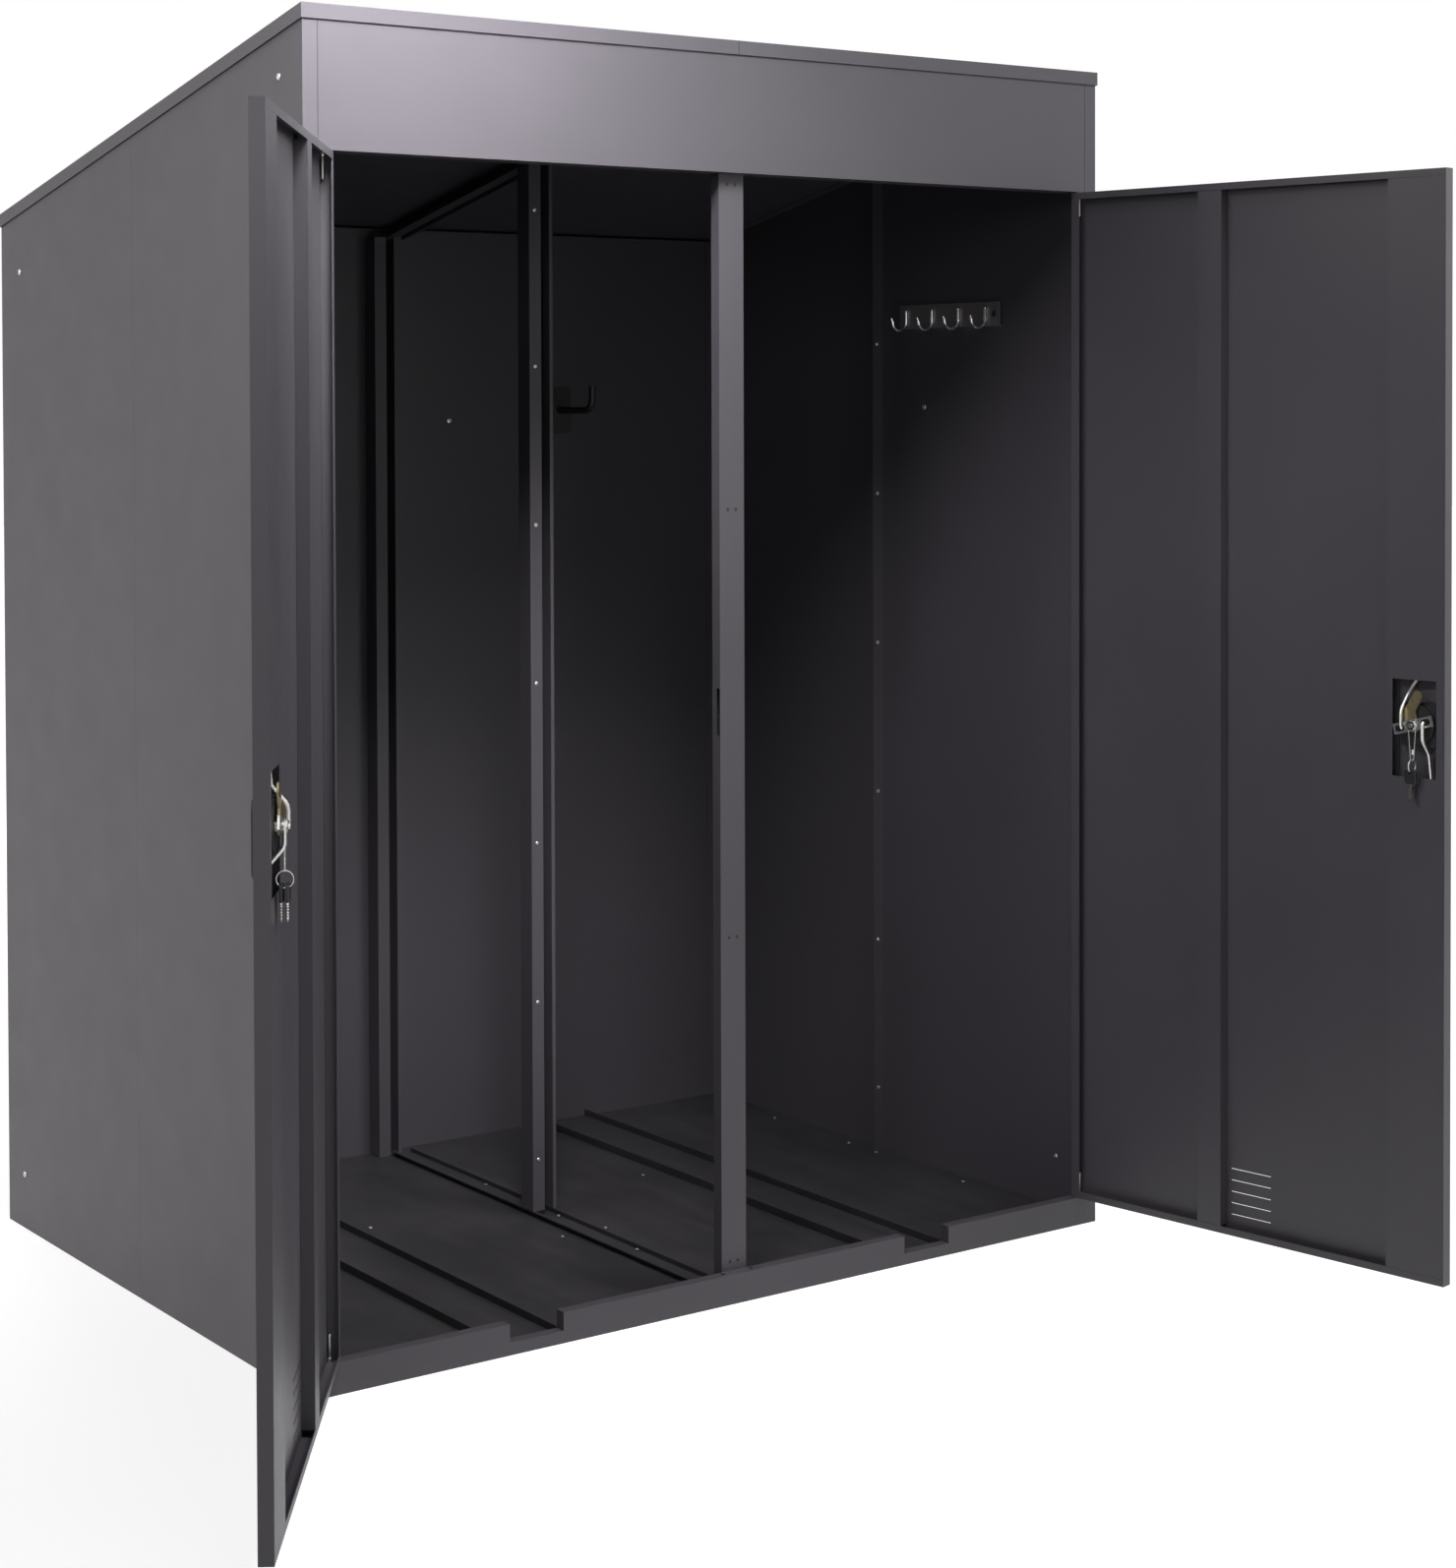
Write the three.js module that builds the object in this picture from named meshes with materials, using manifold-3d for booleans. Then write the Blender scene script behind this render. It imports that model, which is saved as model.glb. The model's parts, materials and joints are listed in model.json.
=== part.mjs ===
// A steel locker for two bicycles: one body with a sloping roof, an open divider and two hinged doors.
// Lengths are in millimetres, +X right, +Y to the rear, +Z up, and the origin is under the body's centre.
import * as THREE from "three";
import { mergeVertices } from "three/addons/utils/BufferGeometryUtils.js";
import Module from "manifold-3d";

const wasm = await Module();
wasm.setup();

// Whole body
const WIDTH = 1600;
const DEPTH = 1200;
const FRONT_HEIGHT = 2100;
const ROOF_FALL = 250;
const SHEET = 1.5;
const SEAT = 0.3;
const FLANGE = 25;
const OVERRUN = 6;
const JAMB_WIDTH = 25;
const JAMB_DEPTH = 30;
const SIDE_JOINT = 20;

// Roof and the fascia over the doors
const ROOF_OVERHANG = 3;
const ROOF_LIP = 23;
const ROOF_JOINT_LIP = 12;
const FASCIA_HEIGHT = 218;
const FASCIA_SILL = 47;
const FASCIA_UPTURN = 20;
const FASCIA_HEAD = 25;

// Front base rail with a notch for each wheel
const RAIL_HEIGHT = 50;
const RAIL_DEPTH = 21;
const NOTCH_WIDTH = 100;
const NOTCH_LEDGE = 20;

// Floor plates, the strap under their joint and the wheel channels on them
const FLOOR_SHEET = 2;
const SILL_WIDTH = 50;
const CHANNEL_WIDTH = 116;
const CHANNEL_RIM = 14;

// Centre post that the doors close against
const POST_WIDTH = 50;
const POST_DEPTH = 22;
const POST_RETURN = 12;

// Folded section of the open divider
const MEMBER_FLANGE = 25;
const MEMBER_GROOVE = 18;
const MEMBER_LIP = 7;
const MEMBER_DEPTH = 40;
const RAFTER_DEPTH = 14;
const FOOT_DEPTH = 8;
const REAR_UPRIGHT_SHIFT = -27;

// Coat hooks on the right wall
const HOOK_RAIL_HEIGHT = 46;
const HOOK_RAIL_LENGTH = 301;
const HOOK_RAIL_DEPTH = 6;
const HOOK_RAIL_DROP = 212;
const HOOK_RAIL_REAR = -45;
const HOOK_RAIL_HOLE = 7;
const HOOK_RAIL_HOLE_INSET = 18;
const HOOK_COUNT = 4;
const HOOK_FIRST = 23;
const HOOK_PITCH = 79;
const HOOK_PLATE_WIDTH = 12;
const HOOK_PLATE_HEIGHT = 28;
const HOOK_PLATE_SHEET = 2.5;
const HOOK_WIRE = 2.5;
const HOOK_BEND = 17;
const HOOK_DROP = 10;
const HOOK_TIP = 7;

// Hook on the rear wall of each bay that a wheel hangs on
const WHEEL_HOOK_DROP = 362;
const WHEEL_HOOK_REACH = 104;
const WHEEL_HOOK_BEND = 26;
const WHEEL_HOOK_TIP = 24;
const WHEEL_HOOK_RADIUS = 7;
const WHEEL_HOOK_PLATE_WIDTH = 56;
const WHEEL_HOOK_PLATE_HEIGHT = 96;
const WHEEL_HOOK_PLATE_SHEET = 4;
const WHEEL_HOOK_PLATE_CORNER = 10;

// Door leaves, with the hinge axis near their outer front corner
const LEAF_THICKNESS = 21;
const LEAF_GAP = 2;
const LEAF_CENTRE_GAP = 5;
const LEAF_HEEL = 5;
const PIVOT_INSET = 35;
const PIVOT_SETBACK = 5;
const HINGE_LIP = 17;
const LEAF_LIP = 12;
const PIN_RADIUS = 3;
const PIN_INSIDE = 42;
const PIN_OUTSIDE = 14;
const PIN_CHAMFER = 0.8;
const RIGHT_DOOR_TURN = 99.4;
const LEFT_DOOR_TURN = 123.9;

// Stiffeners inside a leaf, measured from the hinge axis and the free edge
const STIFFENER_START = 275;
const STIFFENER_WIDTH = 46;
const STIFFENER_FOOT = 11;
const LOCK_STIFFENER_WIDTH = 107;
const WINDOW_WIDTH = 82;
const WINDOW_HEIGHT = 161;
const WINDOW_SHIFT = -3;
const WINDOW_DROP = 7;

// Ventilation slots beside the middle stiffener
const VENT_COUNT = 5;
const VENT_LENGTH = 82;
const VENT_HEIGHT = 3;
const VENT_PITCH = 20;
const VENT_FIRST = 31;
const VENT_START = 332;

// Lock: a turning grip in a dish, which moves a tongue and two rods
const LOCK_HEIGHT = 970;
const LOCK_INSET = 53.8;
const LOCK_TURN = 60;
const PLATE_WIDTH = 80;
const PLATE_HEIGHT = 100;
const PLATE_CORNER = 14;
const PLATE_SHEET = 4;
const PLATE_DROP = 12;
const CASE_WIDTH = 66;
const CASE_HEIGHT = 72;
const CASE_DEPTH = 15;
const DISH_RADIUS = 34;
const DISH_WALL = 3;
const DISH_DEPTH = 17.5;
const DISH_FLOOR = 3;
const GRIP_LENGTH = 56;
const GRIP_WIDTH = 15;
const GRIP_BASE_RADIUS = 29;
const GRIP_BASE = 3.5;
const GRIP_BOSS = 12;
const CYLINDER_RADIUS = 7.5;
const CYLINDER_DEPTH = 10;
const KEYWAY_LENGTH = 8.5;
const KEYWAY_WIDTH = 1.6;
const KEYWAY_DEPTH = 5;
const SHAFT_RADIUS = 6;
const SPINDLE_SQUARE = 8;
const NUT_RADIUS = 8;
const NUT_HEIGHT = 4;
const NUT_STANDOFF = 2.6;
const TONGUE_SHEET = 3;
const TONGUE_BEHIND = 3.3;
const TONGUE_REACH = 54;
const TONGUE_WIDTH = 18;
const TONGUE_RISE = 18;
const TONGUE_HUB = 12;
const CAM_SHEET = 3;
const CAM_WIDTH = 18;
const CAM_HALF = 37;
const ROD_RADIUS = 3;
const ROD_OFFSET = 20;
const ROD_PLAY = 2.3;
const ROD_STANDOFF = 0.8;
const ROD_CRANK_START = 48;
const ROD_CRANK_END = 73;
const ROD_CROSS_END = 148;
const ROD_LINE = 28;
const ROD_DEPTH = 13;
const ROD_BEND = 6;
const ROD_HOLE_PLAY = 1.2;
const BOLT_SLOT_LOW = -23;
const BOLT_SLOT_HIGH = 56;
const BOLT_SLOT_DEPTH = 9.6;

// Keys on a wire loop that hangs from the lock's shaft
const WIRE_RADIUS = 0.6;
const LOOP_LENGTH = 58;
const LOOP_TOP = 7.2;
const LOOP_FOOT = 3;
const RING_RADIUS = 11;
const RING_WIRE = 0.9;
const KEY_COUNT = 2;
const KEY_SPREAD = 8;
const KEY_HEAD_WIDTH = 21;
const KEY_HEAD_HEIGHT = 24;
const KEY_HEAD_SHEET = 5;
const KEY_HEAD_CORNER = 5;
const KEY_HOLE = 3;
const KEY_HOLE_INSET = 5;
const KEY_BLADE_WIDTH = 8;
const KEY_BLADE_LENGTH = 25;
const KEY_BLADE_SHEET = 2.2;
const KEY_BLADE_OVERLAP = 3;

// Fineness of round shapes, as counts of sides and steps
const CIRCLE_SIDES = 32;
const SMALL_SIDES = 16;
const WIRE_SIDES = 8;
const ROD_SIDES = 8;
const NUT_SIDES = 6;
const CORNER_STEPS = 5;
const HOOK_STEPS = 22;
const ROD_STEPS = 34;
const RING_STEPS = 24;

// Finishes
const COAT = new THREE.MeshStandardMaterial({ color: 0x6e6e73, roughness: 0.55, metalness: 0.1 });
const CHROME = new THREE.MeshStandardMaterial({ color: 0xd8dadd, roughness: 0.15, metalness: 1 });
const ZINC = new THREE.MeshStandardMaterial({ color: 0xb9b9b4, roughness: 0.35, metalness: 1 });
const YELLOW_ZINC = new THREE.MeshStandardMaterial({ color: 0xa8905a, roughness: 0.4, metalness: 1 });
const BLACK_PLASTIC = new THREE.MeshStandardMaterial({ color: 0x17171a, roughness: 0.5, metalness: 0 });

// Places that several pieces share
const REAR_HEIGHT = FRONT_HEIGHT - ROOF_FALL;
const FASCIA_BOTTOM = FRONT_HEIGHT - FASCIA_HEIGHT;
const HOOK_RAIL_CENTRE = FASCIA_BOTTOM - HOOK_RAIL_DROP;
const WHEEL_HOOK_HEIGHT = REAR_HEIGHT - WHEEL_HOOK_DROP;
const SIDE = WIDTH / 2;
const FRONT = -DEPTH / 2;
const REAR = DEPTH / 2;
const BAY_CENTRE = WIDTH / 4;
const SEAM = SEAT / 2;
const ROOF_DEPTH = DEPTH + 2 * ROOF_OVERHANG;
const SLOPE = (REAR_HEIGHT - FRONT_HEIGHT) / ROOF_DEPTH;
const FLOOR_BOTTOM = SHEET + SEAT;
const FLOOR_TOP = FLOOR_BOTTOM + FLOOR_SHEET;
const FLOOR_SEAT = FLOOR_TOP + SEAT;
const FLOOR_FRONT = FRONT + RAIL_DEPTH + SEAT;
const FLOOR_REAR = REAR - 2 * SHEET - 2 * SEAT;
const RAIL_END = SIDE - JAMB_WIDTH - SEAT;
const POST_FRONT = FRONT + LEAF_THICKNESS + SEAT;
const POST_REAR = POST_FRONT + POST_DEPTH;
const REAR_MEMBER = REAR - 2 * SHEET - 2 * SEAT - MEMBER_DEPTH;
const FOOT_TOP = FLOOR_SEAT + SHEET + FOOT_DEPTH;
const LEAF_REACH = SIDE - PIVOT_INSET - LEAF_CENTRE_GAP / 2;
const LEAF_BOTTOM = RAIL_HEIGHT + LEAF_GAP;
const LEAF_TOP = FASCIA_BOTTOM - LEAF_GAP;
const LOCK_PLACE = LEAF_REACH - LOCK_INSET;
const TONGUE_SPAN = [LEAF_THICKNESS + TONGUE_BEHIND, LEAF_THICKNESS + TONGUE_BEHIND + TONGUE_SHEET];
const CAM_SPAN = [TONGUE_SPAN[1] + 2 * SEAT, TONGUE_SPAN[1] + 2 * SEAT + CAM_SHEET];
const ROD_LAYER = CAM_SPAN[1] + ROD_STANDOFF + ROD_RADIUS;
const LOCK_ANGLE = THREE.MathUtils.degToRad(LOCK_TURN);
const ROD_TRAVEL = ROD_OFFSET * (1 + Math.tan(LOCK_ANGLE - Math.PI / 4));

const roofTop = (y) => FRONT_HEIGHT + SLOPE * (y - FRONT + ROOF_OVERHANG);
const roofUnder = (y) => roofTop(y) - SHEET - SEAT;

// Turn a closed geometry into a solid for cutting and joining, and back
function solidOf(geometry) {
  const bare = geometry.clone();
  bare.deleteAttribute("normal");
  bare.deleteAttribute("uv");
  const merged = mergeVertices(bare);
  const triVerts = new Uint32Array(merged.index.array);
  return new wasm.Manifold(
    new wasm.Mesh({ numProp: 3, vertProperties: merged.attributes.position.array, triVerts }),
  );
}

function geometryOf(solid) {
  const mesh = solid.getMesh();
  const geometry = new THREE.BufferGeometry();
  geometry.setAttribute("position", new THREE.BufferAttribute(new Float32Array(mesh.vertProperties), 3));
  geometry.setIndex(new THREE.BufferAttribute(new Uint32Array(mesh.triVerts), 1));
  const faceted = geometry.toNonIndexed();
  faceted.computeVertexNormals();
  return faceted;
}

// A box between two limits on each axis
function box([left, right], [front, rear], [low, high]) {
  const geometry = new THREE.BoxGeometry(right - left, rear - front, high - low);
  geometry.translate((left + right) / 2, (front + rear) / 2, (low + high) / 2);
  return solidOf(geometry);
}

// An outline extruded along an axis: (y, z) along x, (x, z) along y, or (x, y) along z
const AXES = {
  x: new THREE.Matrix4().makeBasis(
    new THREE.Vector3(0, 1, 0), new THREE.Vector3(0, 0, 1), new THREE.Vector3(1, 0, 0)),
  y: new THREE.Matrix4().makeBasis(
    new THREE.Vector3(1, 0, 0), new THREE.Vector3(0, 0, 1), new THREE.Vector3(0, -1, 0)),
  z: new THREE.Matrix4(),
};

function extruded(outline, axis, [from, to]) {
  const shape = new THREE.Shape(outline.map(([a, b]) => new THREE.Vector2(a, b)));
  const geometry = new THREE.ExtrudeGeometry(shape, { depth: to - from, bevelEnabled: false });
  geometry.applyMatrix4(AXES[axis]);
  const start = { x: [from, 0, 0], y: [0, to, 0], z: [0, 0, from] }[axis];
  return geometry.translate(...start);
}

const prism = (outline, axis, span) => solidOf(extruded(outline, axis, span));

function circle([a, b], radius, sides = CIRCLE_SIDES) {
  return Array.from({ length: sides }, (_, i) => {
    const angle = (2 * Math.PI * i) / sides;
    return [a + radius * Math.cos(angle), b + radius * Math.sin(angle)];
  });
}

function rounded([a, b], width, height, corner) {
  const outline = [];
  for (let quarter = 0; quarter < 4; quarter++) {
    const right = quarter === 0 || quarter === 3 ? 1 : -1;
    const up = quarter < 2 ? 1 : -1;
    for (let i = 0; i <= CORNER_STEPS; i++) {
      const angle = (Math.PI / 2) * (quarter + i / CORNER_STEPS);
      outline.push([
        a + right * (width / 2 - corner) + corner * Math.cos(angle),
        b + up * (height / 2 - corner) + corner * Math.sin(angle),
      ]);
    }
  }
  return outline;
}

// Outline of a folded sheet: one face follows the path and the other lies a sheet to its left
function fold(path, sheet = SHEET) {
  const points = path.map(([a, b]) => new THREE.Vector2(a, b));
  const far = points.map((point, i) => {
    const before = i > 0 ? point.clone().sub(points[i - 1]).normalize() : null;
    const after = i < points.length - 1 ? points[i + 1].clone().sub(point).normalize() : null;
    const first = before || after;
    const second = after || before;
    const mitre = new THREE.Vector2(-first.y - second.y, first.x + second.x);
    return point.clone().addScaledVector(mitre, sheet / (1 + first.dot(second)));
  });
  return [...path, ...far.reverse().map((point) => [point.x, point.y])];
}

// A route of straight runs whose corners are rounded
function roundedRoute(points, bend) {
  const route = new THREE.CurvePath();
  let from = points[0];
  for (let i = 1; i < points.length - 1; i++) {
    const corner = points[i];
    const back = points[i - 1].clone().sub(corner);
    const ahead = points[i + 1].clone().sub(corner);
    const cut = Math.min(bend, back.length() / 2, ahead.length() / 2);
    const entry = corner.clone().addScaledVector(back.normalize(), cut);
    const exit = corner.clone().addScaledVector(ahead.normalize(), cut);
    route.add(new THREE.LineCurve3(from, entry));
    route.add(new THREE.QuadraticBezierCurve3(entry, corner, exit));
    from = exit;
  }
  route.add(new THREE.LineCurve3(from, points[points.length - 1]));
  return route;
}

// A round bar or wire along a route
function bar(route, radius, steps, sides) {
  const section = new THREE.Shape(circle([0, 0], radius, sides).map(([a, b]) => new THREE.Vector2(a, b)));
  return solidOf(new THREE.ExtrudeGeometry(section, { steps, bevelEnabled: false, extrudePath: route }));
}

const vector = (x, y, z) => new THREE.Vector3(x, y, z);

const root = new THREE.Group();

function addTo(group, name, solid, material) {
  const mesh = new THREE.Mesh(geometryOf(solid), material);
  mesh.name = name;
  group.add(mesh);
  return mesh;
}

// Pieces of the right half, which the left half mirrors
function addBoth(name, solid, material = COAT) {
  addTo(root, `${name}_right`, solid, material);
  addTo(root, `${name}_left`, solid, material).scale.x = -1;
}

// Side walls: two pans a side that are joined by inward flanges, and the front one carries the jamb
function sideOutline([front, rear], inset) {
  return [
    [front + inset, inset],
    [rear - inset, inset],
    [rear - inset, roofUnder(rear - inset) - inset],
    [front + inset, roofUnder(front + inset) - inset],
  ];
}

function sidePan(span) {
  const outer = prism(sideOutline(span, 0), "x", [SIDE - FLANGE, SIDE]);
  return outer.subtract(prism(sideOutline(span, SHEET), "x", [SIDE - FLANGE - OVERRUN, SIDE - SHEET]));
}

function jamb() {
  const face = prism(sideOutline([FRONT, FRONT + SHEET], 0), "x", [SIDE - JAMB_WIDTH, SIDE - SHEET]);
  const back = prism(
    sideOutline([FRONT, FRONT + JAMB_DEPTH], 0), "x", [SIDE - JAMB_WIDTH, SIDE - JAMB_WIDTH + SHEET]);
  return face.add(back);
}

addBoth("side_panel_front", sidePan([FRONT, SIDE_JOINT - SEAM]).add(jamb()));
addBoth("side_panel_rear", sidePan([SIDE_JOINT + SEAM, REAR - SHEET - SEAT]));

// Rear wall: two pans with flanges at the top, the foot and the centre joint
function rearPan() {
  const top = roofUnder(REAR);
  const outer = box([SEAM, SIDE], [REAR - FLANGE, REAR], [0, top]);
  const hollow = box(
    [SEAM + SHEET, SIDE + OVERRUN], [REAR - FLANGE - OVERRUN, REAR - SHEET], [SHEET, top - SHEET]);
  const corner = box(
    [SIDE - FLANGE - SEAT, SIDE + OVERRUN], [REAR - FLANGE - OVERRUN, REAR - SHEET], [-OVERRUN, top + OVERRUN]);
  return outer.subtract(hollow).subtract(corner);
}

addBoth("rear_panel", rearPan());

// Roof: two trays with a lip all round, which meet over the divider
function roofOutline(inset, drop) {
  const front = FRONT - ROOF_OVERHANG + inset;
  const rear = REAR + ROOF_OVERHANG - inset;
  return [
    [front, roofTop(front) - inset],
    [rear, roofTop(rear) - inset],
    [rear, roofTop(rear) - drop],
    [front, roofTop(front) - drop],
  ];
}

function roofTray() {
  const edge = SIDE + ROOF_OVERHANG;
  const outer = prism(roofOutline(0, ROOF_LIP), "x", [SEAM, edge]);
  const hollow = prism(roofOutline(SHEET, ROOF_LIP + OVERRUN), "x", [SEAM - OVERRUN, edge - SHEET]);
  const lipFront = FRONT + FASCIA_HEAD + SEAT;
  const lipRear = REAR - FLANGE - SEAT;
  const lip = prism([
    [lipFront, roofTop(lipFront)],
    [lipRear, roofTop(lipRear)],
    [lipRear, roofTop(lipRear) - ROOF_JOINT_LIP],
    [lipFront, roofTop(lipFront) - ROOF_JOINT_LIP],
  ], "x", [SEAM, SEAM + SHEET]);
  return outer.subtract(hollow).add(lip);
}

addBoth("roof_tray", roofTray());

// Round holes for the hinge pins and the lock rods, in the pieces above and below the doors
function doorHoles(span) {
  const rodPlace = SIDE - PIVOT_INSET - LOCK_PLACE - ROD_LINE;
  const holes = [-1, 1].flatMap((side) => [
    prism(circle([side * (SIDE - PIVOT_INSET), FRONT + PIVOT_SETBACK], PIN_RADIUS + SEAT, SMALL_SIDES), "z", span),
    prism(circle([side * rodPlace, FRONT + ROD_DEPTH], ROD_RADIUS + ROD_HOLE_PLAY, SMALL_SIDES), "z", span),
  ]);
  return holes.reduce((all, hole) => all.add(hole));
}

function fascia() {
  const back = FRONT + FASCIA_SILL;
  const outline = fold([
    [FRONT + FASCIA_HEAD, roofUnder(FRONT + FASCIA_HEAD)],
    [FRONT, roofUnder(FRONT)],
    [FRONT, FASCIA_BOTTOM],
    [back, FASCIA_BOTTOM],
    [back, FASCIA_BOTTOM + FASCIA_UPTURN],
  ]);
  const holes = doorHoles([FASCIA_BOTTOM - OVERRUN, FASCIA_BOTTOM + SHEET + OVERRUN]);
  return prism(outline, "x", [-RAIL_END, RAIL_END]).subtract(holes);
}

addTo(root, "fascia", fascia(), COAT);

// Base rail: a channel open underneath, with a lowered ledge where each wheel is rolled in
function baseRail() {
  const back = FRONT + RAIL_DEPTH;
  const outline = fold([[back, 0], [back, RAIL_HEIGHT], [FRONT, RAIL_HEIGHT], [FRONT, 0]]);
  let rail = prism(outline, "x", [-RAIL_END, RAIL_END]);
  for (const centre of [-BAY_CENTRE, BAY_CENTRE]) {
    const span = [centre - NOTCH_WIDTH / 2, centre + NOTCH_WIDTH / 2];
    const cheeks = [span[0] - SHEET, span[1] + SHEET];
    const frame = box(cheeks, [FRONT, back], [NOTCH_LEDGE - SHEET, RAIL_HEIGHT]);
    const notch = box(span, [FRONT - OVERRUN, back + OVERRUN], [NOTCH_LEDGE, RAIL_HEIGHT + OVERRUN]);
    rail = rail.add(frame).subtract(notch);
  }
  return rail.subtract(doorHoles([RAIL_HEIGHT - SHEET - OVERRUN, RAIL_HEIGHT + OVERRUN]));
}

addTo(root, "base_front_rail", baseRail(), COAT);

// Floor: a strap under the joint, a plate in each bay and a wheel channel on each plate
addTo(root, "floor_strap",
  box([-SILL_WIDTH / 2, SILL_WIDTH / 2], [FLOOR_FRONT, REAR - FLANGE - SEAT], [0, SHEET]), COAT);

function floorPlate() {
  const joint = SEAM + SHEET + SEAT;
  const levels = [FLOOR_BOTTOM - OVERRUN, FLOOR_TOP + OVERRUN];
  const plate = box([joint, SIDE - SHEET - SEAT], [FLOOR_FRONT, FLOOR_REAR], [FLOOR_BOTTOM, FLOOR_TOP]);
  const sideJoint = box(
    [SIDE - FLANGE - SEAT, SIDE + OVERRUN], [SIDE_JOINT - joint, SIDE_JOINT + joint], levels);
  const jambCorner = box(
    [SIDE - JAMB_WIDTH - SEAT, SIDE + OVERRUN], [FRONT - OVERRUN, FRONT + JAMB_DEPTH + SEAT], levels);
  return plate.subtract(sideJoint).subtract(jambCorner);
}

addBoth("floor_plate", floorPlate());

function wheelChannel() {
  const left = BAY_CENTRE - CHANNEL_WIDTH / 2;
  const right = BAY_CENTRE + CHANNEL_WIDTH / 2;
  const rim = FLOOR_SEAT + CHANNEL_RIM;
  const outline = fold([[left, rim], [left, FLOOR_SEAT], [right, FLOOR_SEAT], [right, rim]]);
  return prism(outline, "y", [FLOOR_FRONT, FLOOR_REAR]);
}

addBoth("wheel_channel", wheelChannel());

// Centre post, with a slot in each side that takes the tongue and the cam's end
function centrePost() {
  const half = POST_WIDTH / 2;
  const outline = fold([
    [POST_RETURN - half, POST_REAR],
    [-half, POST_REAR],
    [-half, POST_FRONT],
    [half, POST_FRONT],
    [half, POST_REAR],
    [half - POST_RETURN, POST_REAR],
  ]);
  const slot = box(
    [-half - OVERRUN, half + OVERRUN],
    [POST_FRONT + SHEET, POST_FRONT + SHEET + BOLT_SLOT_DEPTH],
    [LOCK_HEIGHT + BOLT_SLOT_LOW, LOCK_HEIGHT + BOLT_SLOT_HIGH]);
  return prism(outline, "z", [FLOOR_SEAT, FASCIA_BOTTOM - SEAT]).subtract(slot);
}

addTo(root, "centre_post", centrePost(), COAT);

// Open divider: every member has a groove beside a wide flange, and the uprights are closed on the flange's side
function memberPath(depth, place) {
  return [
    [-MEMBER_FLANGE, 0],
    [0, 0],
    [0, depth],
    [MEMBER_GROOVE, depth],
    [MEMBER_GROOVE, 0],
    [MEMBER_GROOVE + MEMBER_LIP, 0],
  ].map(place);
}

function aboveRafter() {
  const underside = (y) => roofTop(y) - ROOF_JOINT_LIP - RAFTER_DEPTH - SHEET - 2 * SEAT;
  const outline = [
    [FRONT, underside(FRONT)],
    [REAR, underside(REAR)],
    [REAR, FRONT_HEIGHT + OVERRUN],
    [FRONT, FRONT_HEIGHT + OVERRUN],
  ];
  return prism(outline, "x", [-SIDE, SIDE]);
}

function upright(front, low, shift) {
  const place = ([a, b]) => [shift + a, front + b];
  const outline = fold([place([-MEMBER_FLANGE, MEMBER_DEPTH]), ...memberPath(MEMBER_DEPTH, place)]);
  return prism(outline, "z", [low, FRONT_HEIGHT]).subtract(aboveRafter());
}

addTo(root, "divider_mid_upright", upright(SIDE_JOINT, FOOT_TOP + SEAT, 0), COAT);
addTo(root, "divider_rear_upright", upright(REAR_MEMBER, FLOOR_SEAT, REAR_UPRIGHT_SHIFT), COAT);

function footRail() {
  const half = MEMBER_GROOVE + MEMBER_LIP;
  const outline = fold([
    [half, FOOT_TOP],
    [MEMBER_GROOVE, FOOT_TOP],
    [MEMBER_GROOVE, FOOT_TOP - FOOT_DEPTH],
    [-MEMBER_GROOVE, FOOT_TOP - FOOT_DEPTH],
    [-MEMBER_GROOVE, FOOT_TOP],
    [-half, FOOT_TOP],
  ]);
  return prism(outline, "y", [POST_REAR + SEAT, REAR_MEMBER - SEAT]);
}

addTo(root, "divider_foot_rail", footRail(), COAT);

function rafter() {
  const bottom = -ROOF_JOINT_LIP - SEAT - SHEET - RAFTER_DEPTH;
  const outline = fold(memberPath(RAFTER_DEPTH, ([a, b]) => [a, bottom + b]));
  const geometry = extruded(outline, "y", [FRONT + SHEET + SEAT, REAR - FLANGE - SEAT]);
  const lean = new THREE.Matrix4().set(1, 0, 0, 0, 0, 1, 0, 0, 0, SLOPE, 1, roofTop(0), 0, 0, 0, 1);
  return solidOf(geometry.applyMatrix4(lean));
}

addTo(root, "divider_rafter", rafter(), COAT);

// Coat hooks: a shallow rail on the right wall and four bent hooks on it
const HOOK_WALL = SIDE - SHEET - SEAT;
const HOOK_FACE = HOOK_WALL - HOOK_RAIL_DEPTH;

function hookRail() {
  const low = HOOK_RAIL_CENTRE - HOOK_RAIL_HEIGHT / 2;
  const high = HOOK_RAIL_CENTRE + HOOK_RAIL_HEIGHT / 2;
  const front = HOOK_RAIL_REAR - HOOK_RAIL_LENGTH;
  const outline = fold([[HOOK_WALL, high], [HOOK_FACE, high], [HOOK_FACE, low], [HOOK_WALL, low]]);
  const hole = prism(
    circle([front + HOOK_RAIL_HOLE_INSET, HOOK_RAIL_CENTRE], HOOK_RAIL_HOLE, SMALL_SIDES),
    "x", [HOOK_FACE - OVERRUN, HOOK_FACE + HOOK_RAIL_DEPTH]);
  return prism(outline, "y", [front, HOOK_RAIL_REAR]).subtract(hole);
}

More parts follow.
